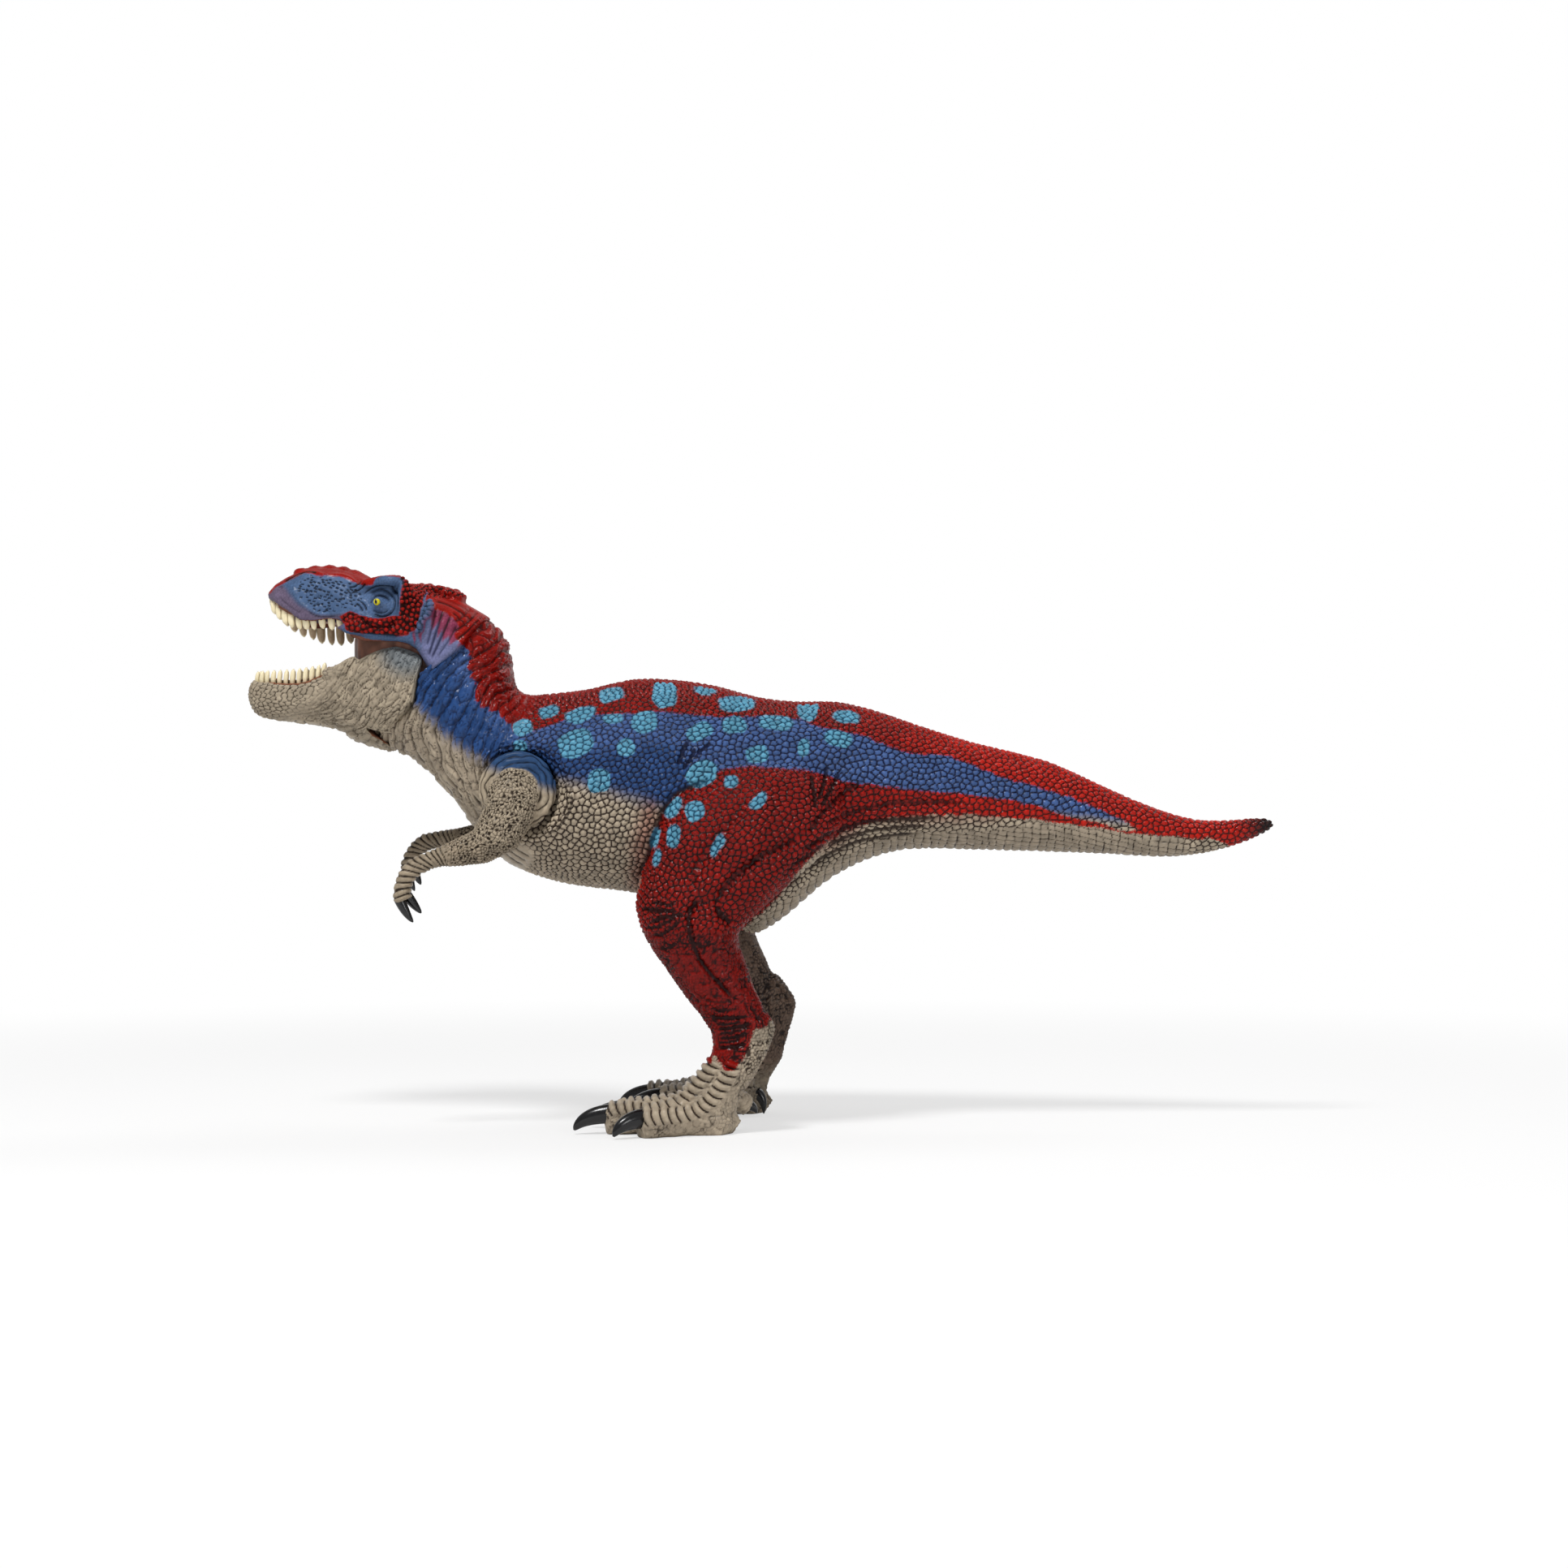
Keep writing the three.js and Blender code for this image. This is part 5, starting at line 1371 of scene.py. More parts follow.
    def tail_plates(self, points: Array, flat: Array) -> tuple[Array, Array]:
        """Makes the squared plates under the tail.

        Args:
            points: places in millimetres.
            flat: the same places in the side view.

        Returns:
            Their height from 0 in the furrows to 1, and where they lie, from 0 to 1.
        """
        stations = np.arange(-20.0, 141.0, 4.0)
        rows = [np.abs(points[:, 0] - station) < 3 for station in stations]
        centres = [points[row & (np.abs(points[:, 1]) < 12), 2] for row in rows]
        middle = np.array([(column.min() + column.max()) / 2 for column in centres])
        radius = np.array([(column.max() - column.min()) / 2 for column in centres])
        level = points[:, 2] - np.interp(points[:, 0], stations, middle)
        around = np.arctan2(level, np.abs(points[:, 1])) * np.interp(points[:, 0], stations, radius)
        bend = Ripple(Seed.TAIL_BEND).at(points, 7.0) * 0.35
        length_bend, width_bend = (Ripple(seed).at(points, 2.1) * 0.2 + bend for seed in self.tail_seeds)
        lengthwise = np.abs(np.sin(np.pi * (points[:, 0] / self.plate_spacing[0] + length_bend))) ** 0.5
        crosswise = np.abs(np.sin(np.pi * (around / self.plate_spacing[1] + width_bend * 1.3))) ** 0.5
        tiles = np.minimum(lengthwise, crosswise)
        low = np.interp(flat[:, 0], *self.plate_edge) - flat[:, 1]
        legs_apart = ease(flat[:, 0], -6, 4) * ease(11.5 - np.abs(points[:, 1]), 0, 2)
        return tiles, ease(low, -0.8, 0.8) * legs_apart * ease(122 - flat[:, 0], 0, 12)

    def grain(self, points: Array) -> Array:
        """Places in units of one scale: round pebbles on the belly, flatter ones on back and tail."""
        along_body = np.interp(points[:, 0], self.length_stations, self.stretched(self.length_stations, self.lengths))
        upward = np.interp(points[:, 2], self.height_stations, self.stretched(self.height_stations, self.heights))
        across = points[:, 1] / self.scale_width
        return np.column_stack([along_body, across, upward])

    @staticmethod
    def stretched(stations: tuple[float, ...], sizes: tuple[float, ...]) -> Array:
        """How many scales of the given sizes fit up to each station."""
        steps = np.diff(stations) / ((np.array(sizes[:-1]) + np.array(sizes[1:])) / 2)
        return np.concatenate([[0.0], np.cumsum(steps)])


def tuck(skin: Skin, path: list[Place], radius: float) -> Array:
    """Draws the part of a skin round a claw in, so that the separate claw covers it.

    Args:
        skin: what is drawn in.
        path: base, bend and tip of the claw.
        radius: how far round the claw this reaches.

    Returns:
        How much of each vertex the claw hides, from 0 to 1.
    """
    spine = np.array(path, float)
    near = within(skin.co, spine.min(0) - radius, spine.max(0) + radius)
    places = skin.co[near]
    forward = (spine[1] - spine[0]) / np.linalg.norm(spine[1] - spine[0])
    ahead = ease((places - spine[0]) @ forward, 0.3, 1.2)
    best, foot = np.full(len(places), np.inf), places.copy()
    for a, b in zip(spine[:-1], spine[1:]):
        t = np.clip((places - a) @ (b - a) / np.sum((b - a) ** 2), 0, 1)
        on = a + t[:, None] * (b - a)
        distance = np.linalg.norm(places - on, axis=1)
        foot = np.where((distance < best)[:, None], on, foot)
        best = np.minimum(best, distance)
    hidden = ahead * ease(radius - best, 0.0, 0.25 * radius)
    centre = foot - forward * 0.4
    skin.co[near] = places + (centre - places) * (hidden * 0.75)[:, None]
    covered = np.zeros(len(skin.co))
    covered[near] = hidden
    return covered


def bent(start: Vector, bend: Vector, end: Vector, t: float) -> Vector:
    """Place on the curve from start to end that is drawn towards bend; t runs from 0 to 1."""
    return start * (1 - t) ** 2 + bend * 2 * t * (1 - t) + end * t**2


def tube(form: Form, rings: list[list[Vector]]) -> None:
    """Adds a tube with closed ends.

    Args:
        form: the mesh in the making.
        rings: places in millimetres, ring by ring.
    """
    rows = [[form.verts.new(place * MM) for place in ring] for ring in rings]
    for low, high in zip(rows[:-1], rows[1:]):
        for k in range(len(low)):
            beside = (k + 1) % len(low)
            form.faces.new((low[k], low[beside], high[beside], high[k]))
    form.faces.new(rows[0][::-1])
    form.faces.new(rows[-1])


def circle(sides: int) -> list[tuple[float, float]]:
    """Cosines and sines of evenly spaced angles."""
    return [(math.cos(2 * math.pi * k / sides), math.sin(2 * math.pi * k / sides)) for k in range(sides)]


def make_claw(name: str, places: list[Place], radius: float, material: Material) -> Piece:
    """Makes a curved horn with a round base and a blunt tip.

    Args:
        name: of the piece.
        places: base, bend and tip, in millimetres.
        radius: at the base.
        material: its look.

    Returns:
        The object.
    """
    base, bend, tip = (Vector(place) for place in places)
    start = base + (base - bend) * 0.25
    form = bmesh.new()
    rings = []
    steps, sides = 14, 14
    for i in range(steps + 1):
        t = i / steps
        middle = bent(start, bend, tip, t)
        ahead = ((bend - start) * (1 - t) + (tip - bend) * t).normalized()
        beside = ahead.cross(Vector((0, 0, 1))).normalized()
        over = beside.cross(ahead)
        width = 0.1 * radius if i == steps else radius * (1 - t**1.6) ** 0.75 * 0.86 + 0.12 * radius
        rings.append([middle + beside * width * 0.82 * c + over * width * s for c, s in circle(sides)])
    tube(form, rings)
    bmesh.ops.recalc_face_normals(form, faces=form.faces)
    for vert in form.verts:
        vert.co.z = max(vert.co.z, 0.0)
    return piece_from(form, name, material)


def piece_from(form: Form, name: str, material: Material) -> Piece:
    """Turns a form into a smooth-shaded object.

    Args:
        form: the mesh in the making, which is freed.
        name: of the piece.
        material: its look.

    Returns:
        The object.
    """
    for face in form.faces:
        face.smooth = True
    mesh = bpy.data.meshes.new(name)
    form.to_mesh(mesh)
    form.free()
    mesh.materials.append(material)
    piece = bpy.data.objects.new(name, mesh)
    bpy.context.scene.collection.objects.link(piece)
    return piece


# Head


@dataclass
class Head:
    """Skull skin with snout panel, brows, bead fields and crest; at holds what lies where on it."""

    voxel: float = 0.3
    swell: float = 0.12
    bead_size: float = 1.4
    grain_size: float = 0.85
    panel: Curve = (
        (-126.2, 147.8), (-124.1, 149.4), (-121.5, 149.6), (-118.9, 148.9), (-114.2, 148.9), (-111, 147.3),
        (-108.9, 144.4), (-108.7, 142.1), (-111, 140), (-115.2, 139.2), (-120.4, 138.9), (-124.1, 140.8),
        (-126.7, 143.6), (-127.2, 146.2),
    )
    lip_band: Curve = (
        (-136, 146), (-134.5, 147.5), (-130.5, 146.5), (-127.8, 142.9), (-124.1, 140), (-120.4, 138.4),
        (-115.2, 138.4), (-113.6, 138.5), (-114.7, 134), (-117.3, 134), (-122.5, 134.8), (-127.8, 136.4),
        (-131.4, 138.8), (-137, 141),
    )
    red_top: Curve = (
        (-137, 145.6), (-134.6, 144.3), (-131, 146.8), (-126.2, 149.3), (-122.5, 149.7), (-120.4, 148.9),
        (-114.2, 148.5), (-110, 146.8), (-106.9, 146.6), (-105, 147.7), (-104.8, 152.3), (-122.5, 157), (-134.5, 153),
    )
    beads: Curve = (
        (-97.4, 147.6), (-93.3, 148), (-91.2, 147.5), (-92, 142.9), (-93, 139.2), (-93.5, 135.5), (-96.1, 133.7),
        (-98, 135), (-98.8, 137.9), (-98, 142.3),
    )
    cheek: Curve = (
        (-115.1, 137.9), (-112.1, 139.3), (-107.9, 137.9), (-103.7, 137.6), (-98.5, 138.2), (-96.1, 134),
        (-96.9, 132.8), (-102.7, 133.1), (-112.1, 133.7), (-113.9, 136.1),
    )
    cape: Curve = (
        (-98.5, 160), (-95, 147.5), (-91.5, 146), (-90.9, 141), (-87, 139.6), (-84.4, 138), (-82.4, 135.5),
        (-82, 130.8), (-60, 120), (-60, 160),
    )
    rose: Curve = (
        (-90.6, 141.5), (-86.5, 140.5), (-83.3, 138.8), (-81, 136), (-80.6, 131.5), (-83.5, 131), (-87, 132.5),
        (-89.3, 136), (-91.6, 136), (-93.6, 132), (-94.2, 133), (-92.3, 138),
    )
    lilac: Curve = (
        (-92.3, 133.5), (-90.2, 136.5), (-88.2, 137.5), (-84, 134.5), (-80.5, 130.8), (-86, 126), (-92.6, 122.5),
        (-93.4, 128),
    )
    strip: Curve = (
        (-92, 141.5), (-90.7, 142.1), (-89.7, 140.5), (-90.1, 138.7), (-92, 136.3), (-92.5, 134), (-94.3, 133.7),
        (-93.8, 136.1), (-92.5, 139.2),
    )
    shifts: tuple[Shift, ...] = (
        Shift((-124.5, 137.5), (8, 3.5), (0, -1.1)), Shift((-121, 153), (14, 6), (0.4, -0.9)),
    )
    eye: Place = (-102.5, 14.75, 140.6)
    eye_radius: float = 0.9
    brow_top: Curve = (
        (-107.2, 147.2), (-104.5, 148.1), (-101, 148.5), (-98.5, 148), (-97, 146.8), (-96.5, 152), (-104, 153),
        (-107.5, 150),
    )
    shade_pool: Curve = (
        (-110.5, 145.2), (-108, 146.4), (-105.5, 147), (-102.5, 146.8), (-99.5, 145.8), (-98.3, 142.5),
        (-98.8, 138.7),
        (-100.5, 138.6), (-100, 142), (-101.5, 144.6), (-104, 144.9), (-107, 143.8), (-110, 144.2),
    )
    crest: tuple[tuple[float, float, float, float], ...] = (
        (-94.6, 145.9, 1.2, 1), (-92.6, 146, 1.3, 1.1), (-90.4, 145.9, 1.4, 1.1), (-88, 145.4, 1.5, 1.1),
        (-85.7, 144.9, 1.5, 1.1), (-83.4, 144.3, 1.6, 1.2),
    )
    strokes: tuple[Stroke, ...] = (
        Stroke(((-110, 143.9), (-107.4, 144.7), (-105.8, 146.4), (-103.7, 147.6), (-100.1, 148), (-97.7, 146.9),
                (-97.4, 144.4), (-98.2, 140.8), (-99, 138.4)), 0.8, 0.9),
        Stroke(((-107.2, 141.2), (-106.2, 143.2), (-104.4, 144.2), (-102.4, 143.7), (-101.2, 142)), -0.5, 0.35, 0.55),
        Stroke(((-106.6, 140.2), (-105, 139.3), (-103, 139.3), (-101.6, 140.4)), -0.45, 0.32, 0.55),
        Stroke(((-106.2, 139.3), (-104.2, 138.3), (-102, 138.5), (-100.6, 139.9)), -0.35, 0.3, 0.7),
        Stroke(((-105.6, 142.9), (-104.3, 143.3), (-103, 142.8)), 0.4, 0.4),
        Stroke(((-108.4, 143.2), (-106.4, 144.7), (-103.8, 145.4), (-101.4, 144.6), (-100.1, 142.4),
                (-100.5, 139.9), (-102.2, 138.5), (-105, 138.2), (-108, 139.6)), -0.6, 0.36, 0.55),
        Stroke(((-110, 143.2), (-107.4, 145), (-104.6, 146.4), (-101.4, 146.2), (-99.3, 144.4), (-99, 141),
                (-99.8, 138.8)), -0.7, 0.45, 0.6),
        Stroke(((-112.2, 144.6), (-109.6, 145.6), (-107.6, 147.2)), -0.5, 0.35, 0.7),
        Stroke(((-112.8, 146.4), (-110.4, 146.6), (-108.6, 148.2)), -0.5, 0.35, 0.7),
        Stroke(((-110.8, 142), (-109.4, 140.8), (-108.6, 139.2)), -0.45, 0.3, 0.7),
        Stroke(((-109.8, 142.6), (-108.4, 141.4), (-107.6, 139.4)), -0.4, 0.3, 0.7),
        Stroke(((-126.2, 147.8), (-124.1, 149.6), (-121.5, 149.9), (-118.9, 149.2), (-114.2, 149.1),
                (-111, 147.5), (-108.7, 144.6)), 0.5, 0.55),
        Stroke(((-108.5, 142), (-111, 139.6), (-115.2, 138.8), (-120.4, 138.5), (-124.1, 140.4), (-126.9, 143.4),
                (-127.4, 146.2), (-126.2, 147.8)), 0.4, 0.55),
        Stroke(((-110.5, 139.1), (-108.4, 137.4), (-105.8, 136.3), (-102.2, 136.6), (-99, 137.9)), 0.9, 0.7),
        Stroke(((-110, 138), (-107.8, 136.2), (-105.2, 135.1), (-101.8, 135.4), (-98.6, 136.8)), -0.7, 0.4),
        Stroke(((-114.7, 134.6), (-112.6, 132.6), (-110, 131.9), (-101.6, 131.9), (-96.4, 131.6), (-94.1, 129.3),
                (-92.7, 126.1)), 0.6, 0.7),
        Stroke(((-91.2, 142), (-90.2, 139.6), (-91.6, 136.9), (-93.2, 134.4)), 1, 0.9),
        Stroke(((-112.6, 133.7), (-102.7, 133.1), (-97.4, 132.8)), -0.5, 0.35),
        Stroke(((-130.9, 147.2), (-126.2, 149.9), (-122.5, 150.1), (-120.4, 149.3)), -0.35, 0.4),
        Stroke(((-124.1, 139.6), (-120.4, 138), (-115.2, 138.2)), -0.3, 0.35, 0.5),
        Stroke(((-132, 143.6), (-128.4, 140.6), (-124.6, 138.4)), -0.25, 0.35, 0.4),
        Stroke(((-90.2, 144.2), (-86.2, 143.2), (-81.5, 140.8), (-77.6, 138.6)), -0.35, 0.5, 0.5),
        Stroke(((-90, 142.6), (-85.8, 141.6), (-81, 138.9), (-78, 136.6)), -0.35, 0.5, 0.5),
        Stroke(((-84.6, 139.8), (-81.4, 137), (-79.4, 134.6)), -0.35, 0.5, 0.5),
        Stroke(((-84, 131.2), (-79.8, 134.2), (-74.6, 139.2)), -0.55, 0.6, 0.6),
        Stroke(((-84.9, 133.6), (-80.9, 136), (-76, 140.6)), -0.5, 0.55, 0.55),
        Stroke(((-84.2, 136.4), (-81.6, 138), (-78.2, 141.4)), -0.45, 0.5, 0.5),
        Stroke(((-88.4, 141.5), (-89.6, 136), (-91.5, 129)), -0.5, 0.5, 0.5),
        Stroke(((-86.3, 141), (-88.6, 134), (-91.2, 126)), -0.5, 0.5, 0.6),
        Stroke(((-84, 139.8), (-87, 133), (-90.6, 125.4)), -0.5, 0.5, 0.6),
        Stroke(((-82.3, 137), (-85, 132), (-88.8, 126.4)), -0.4, 0.4, 0.5),
    )
    swellings: tuple[Swelling, ...] = (
        Swelling((-103.8, 147.4), (6.5, 2), 0.8, 4),
        Swelling((-98.2, 142.5), (1.8, 5), 0.7, 0),
        Swelling((-104.4, 141.8), (5.2, 4.2), -0.8, 0),
        Swelling((-104.3, 141.7), (2.8, 2.4), 1.1, 0),
        Swelling((-117.5, 144.5), (9.5, 5.2), -0.4, 4),
        Swelling((-104, 134.6), (10, 2), 0.5, 0),
    )

    skin: Skin = field(init=False)
    at: SimpleNamespace = field(init=False)

    def build(self) -> None:
        """Makes the skin of the head, the crest and the eyes."""
        skin = self.skin = Skin(("head",), self.voxel, grow=self.swell)
        at = self.at = SimpleNamespace()
        log.info("head: %d vertices", len(skin.co))
        self.shape()
        at.flat = STENCIL.flat(skin.co)
        at.normals = skin.normals()
        at.sideways = ease(np.abs(at.normals[:, 1]), 0.05, 0.5)
        outer = ease(np.abs(skin.co[:, 1]), 3, 6)
        relief, dark = drawn(self.strokes, at.flat)
        relief += sum(swelling.relief(at.flat) for swelling in self.swellings)
        skin.push(relief * at.sideways * outer)
        at.dark = dark * (at.sideways * outer)
        self.press_texture()
        self.spray()
        skin.finish("head_skin", "root", "blue_vinyl", HEAD_VINYL.build())
        self.make_crest()
        self.make_eyes()

    def shape(self) -> None:
        """Takes the facets out, rounds the brow and laps the skin over the seam of the neck."""
        flat = STENCIL.flat(self.skin.co)
        to_seam = SEAM.distance(flat)
        self.skin.even(14, 0.9 * (1 - 0.8 * bell(to_seam, 2.5)))
        brow = np.exp(-(((flat[:, 0] + 102.5) / 6.5) ** 2) - ((flat[:, 1] - 145.5) / 5.0) ** 2)
        self.skin.even(240, brow * 0.97)
        for shift in self.shifts:
            shift.apply(self.skin)
        SEAM.lap(self.skin, flat, to_seam, 1)

    def press_texture(self) -> None:
        """Presses the beads, the pitted panel and the fine grain, and paints their furrows and tones."""
        skin, flat, sideways = self.skin, self.at.flat, self.at.sideways
        panel = ease(depth_in(self.panel, flat), 0.0, 0.8) * sideways
        beaded = np.maximum(ease(depth_in(self.beads, flat), -0.3, 0.5),
                            ease(depth_in(self.cheek, flat), -0.2, 0.6) * 0.7) * sideways
        crown = ease(self.at.normals[:, 2], 0.1, 0.5)
        crown = crown * ease(skin.co[:, 0], -98, -95) * ease(skin.co[:, 2], 141.5, 143.5)
        strip = ease(depth_in(self.strip, flat), -0.5, 0.3) * sideways
        beaded = np.maximum.reduce([beaded, crown, strip])
        beads = Scales(skin.co / self.bead_size, Seed.HEAD_BEADS)
        dome = np.sqrt(np.clip(1 - (beads.near / 0.5) ** 2, 0, 1)) * ease(beads.edge, 0.0, 0.15)
        holes = self.holes()
        fine = Scales(skin.co / self.grain_size, Seed.HEAD_GRAIN).relief(0.3)
        rest = np.clip(1 - panel - beaded, 0, 1)
        skin.push(beaded * (dome * 0.85 - 0.3) - panel * holes * 0.4 + (fine - 1) * 0.09 * rest + strip * 0.6)
        gaps = beaded * (1 - dome) * (1 - 0.5 * strip)
        groove = np.maximum.reduce([gaps, panel * holes * 0.95, (1 - fine) * 0.3 * rest, self.at.dark])
        # Painted shade: a pool of dark under the brow ridge, added to the grooves
        pool = ease(depth_in(self.shade_pool, flat), -0.6, 0.8) * sideways
        skin.paint("groove", np.maximum(groove, pool * 0.3))
        brushed = 0.5 + 0.5 * Ripple(Seed.HEAD_BRUSHING).at(skin.co * np.array((0.4, 1.0, 1.0)), 0.9)
        skin.paint("tone", np.where(beaded > 0.4, beads.tone, brushed))
        # Painted shade: darker on faces turned down
        skin.paint("dull", np.clip(-self.at.normals[:, 2], 0, 1) * 0.5)

    def holes(self) -> Array:
        """Depth of the slanting pits and scratches of the snout's panel, from 0 to 1."""
        flat = self.at.flat
        slanted = np.column_stack([(flat @ (0.9, -0.4)) * 0.5, self.skin.co[:, 1], flat @ (0.4, 0.9)])
        pits = Scales(slanted / self.grain_size, Seed.HEAD_PITS, 0, 0.7)
        scratches = 1 - ease(np.abs(Ripple(Seed.HEAD_SCRATCHES).at(slanted, 0.9)), 0.0, 0.13)
        return np.maximum(ease(0.36 - pits.near, 0.0, 0.16) * (pits.tone > 0.3) * 0.8, scratches * 0.45)

    def spray(self) -> None:
        """Paints the coats with slightly uneven edges."""
        skin, normals = self.skin, self.at.normals
        x, beside, z = skin.co[:, 0], np.abs(skin.co[:, 1]), skin.co[:, 2]
        flat = self.at.flat + wobble(skin.co, Seed.HEAD_EDGES, 2, 1.8, 0.3)
        skin.paint("mauve", depth_in(self.lip_band, flat))
        fan = np.arctan2(flat[:, 1] - 119.0, flat[:, 0] + 95.0)
        streaks = np.sin(fan * 46 + 2.0 * Ripple(Seed.NECK_STREAKS).at(skin.co, 3.0))
        on_strip = depth_in(self.strip, flat)
        skin.paint("rose", np.minimum(depth_in(self.rose, flat) + streaks * 1.1, -1.5 * on_strip))
        skin.paint("lilac", depth_in(self.lilac, flat) - streaks * 0.4)
        outlines = (self.red_top, self.beads, self.cheek, self.cape, self.brow_top)
        red = np.maximum.reduce([depth_in(outline, flat) for outline in outlines])
        # The top between the outlines of both sides is red too, but for the tip of the snout
        middle = np.minimum(7.0 - beside, (normals[:, 2] - 0.35) * 8)
        red = np.maximum(red, np.minimum(middle, x + 122))
        skin.paint("red", np.minimum(red, -on_strip))
        under = ease(-normals[:, 2], 0.55, 0.8) * (beside < 13) * (z < 140)
        inner = ease(-np.sign(skin.co[:, 1]) * normals[:, 1], 0.2, 0.5) * (z < 142) * (x < -108)
        under = np.maximum(under, inner * (beside > 1) * (beside < 12.5))
        skin.paint("flesh", under * 4 - 2)

    def make_crest(self) -> None:
        """Makes the row of glossy beads that overhangs the nape."""
        form = bmesh.new()
        for x, z, length, height in self.crest:
            for y in (-2.2, 0.0, 2.2):
                made = bmesh.ops.create_icosphere(form, subdivisions=3, radius=1.0)
                for vert in made["verts"]:
                    place = Vector((vert.co.x * length, vert.co.y * 1.3, vert.co.z * height * (1.1 if y == 0 else 0.9)))
                    vert.co = (place + Vector((x, y, z - abs(y) * 0.22))) * MM
        beads = piece_from(form, "crest_beads", RED_GLOSS.build())
        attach(beads, "root")

    def make_eyes(self) -> None:
        """Makes the two glossy eyes with their slit pupils."""
        material = EYE_YELLOW.build()
        x, out, z = self.eye
        for side, name in SIDES:
            form = bmesh.new()
            bmesh.ops.create_icosphere(form, subdivisions=5, radius=self.eye_radius * MM)
            for vert in form.verts:
                vert.co += Vector((x, side * out, z)) * MM
            piece = piece_from(form, f"{name}_eye", material)
            points = np.array([vert.co for vert in piece.data.vertices]) / MM
            from_pupil = np.hypot((points[:, 0] - x + 0.12) / 0.36, (points[:, 2] - z) / 0.62)
            keep(piece.data, "stain", 1.5 - from_pupil)
            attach(piece, "root")


# Mouth


@dataclass(frozen=True)
class ToothRow:
    """A row of leaf-shaped teeth; tips are x, y and z, and roots lie a length away."""

    name: str
    body: str
    tips: tuple[Place, ...]
    length: float
    radius: float
    direction: int
    sides: int = 12
    steps: int = 10

    def build(self, material: Material) -> None:
        """Makes the row.

        Args:
            material: its look.
        """
        form = bmesh.new()
        for number, tip in enumerate(self.tips):
            tube(form, self.rings(number, Vector(tip)))
        bmesh.ops.recalc_face_normals(form, faces=form.faces)
        row = piece_from(form, self.name, material)
        points = np.array([vert.co for vert in row.data.vertices]) / MM
        keep(row.data, "stain", self.stains(points.reshape(len(self.tips), self.steps + 1, self.sides, 3)).ravel())
        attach(row, self.body)
        log.info("%s: %d teeth", self.name, len(self.tips))

    def rings(self, number: int, end: Vector) -> list[list[Vector]]:
        """Places the rings of one tooth, whose root is short enough to stay inside the gum.

        Args:
            number: of the tooth, from the front.
            end: its tip.

        Returns:
            Places in millimetres, ring by ring from the root.
        """
        side = math.copysign(1, end.y)
        length = min(self.length, 4.4 + 0.5 * number)
        root = end + Vector((-0.35, -0.25 * side, -self.direction * length))
        bend = (root + end) / 2 + Vector((-0.3, 0.12 * side, 0))
        rings = []
        for i in range(self.steps + 1):
            t = i / self.steps
            middle = bent(root, bend, end, t)
            width = self.radius * (0.8 + 0.3 * t) * math.sqrt(1.02 - t**4) * (0.95 + 0.08 * math.sin(number * 2.4))
            rings.append([middle + Vector((c * width, s * width * 0.85, 0)) for c, s in circle(self.sides)])
        return rings

    def stains(self, points: Array) -> Array:
        """Works out how brown the teeth are: a stain towards the roots, and painted shade inside where the row is the
        upper one.

        Args:
            points: places by tooth, ring and side, in millimetres.

        Returns:
            A value from 0 to 1 for each.
        """
        tips = np.array(self.tips)[:, None, None, :]
        from_tip = np.abs(points[..., 2] - tips[..., 2]) / self.length
        inward = (points.mean(axis=2, keepdims=True) - points)[..., 1] * np.sign(tips[..., 1])
        # Painted shade: the faces of the upper teeth that look into the mouth turn brown
        shaded = ease(inward, 0.0, 0.5 * self.radius)
        return np.maximum(0.8 * from_tip, 0.8 * shaded if self.direction < 0 else 0.0)


def strung(line: tuple[Place, ...], count: int) -> tuple[Place, ...]:
    """Spaces a count of places evenly along a line."""
    corners = np.array(line, float)
    arc = np.concatenate([[0.0], np.cumsum(np.linalg.norm(np.diff(corners, axis=0), axis=1))])
    marks = np.linspace(0, arc[-1], count)
    return tuple(tuple(float(np.interp(m, arc, axis)) for axis in corners.T) for m in marks)


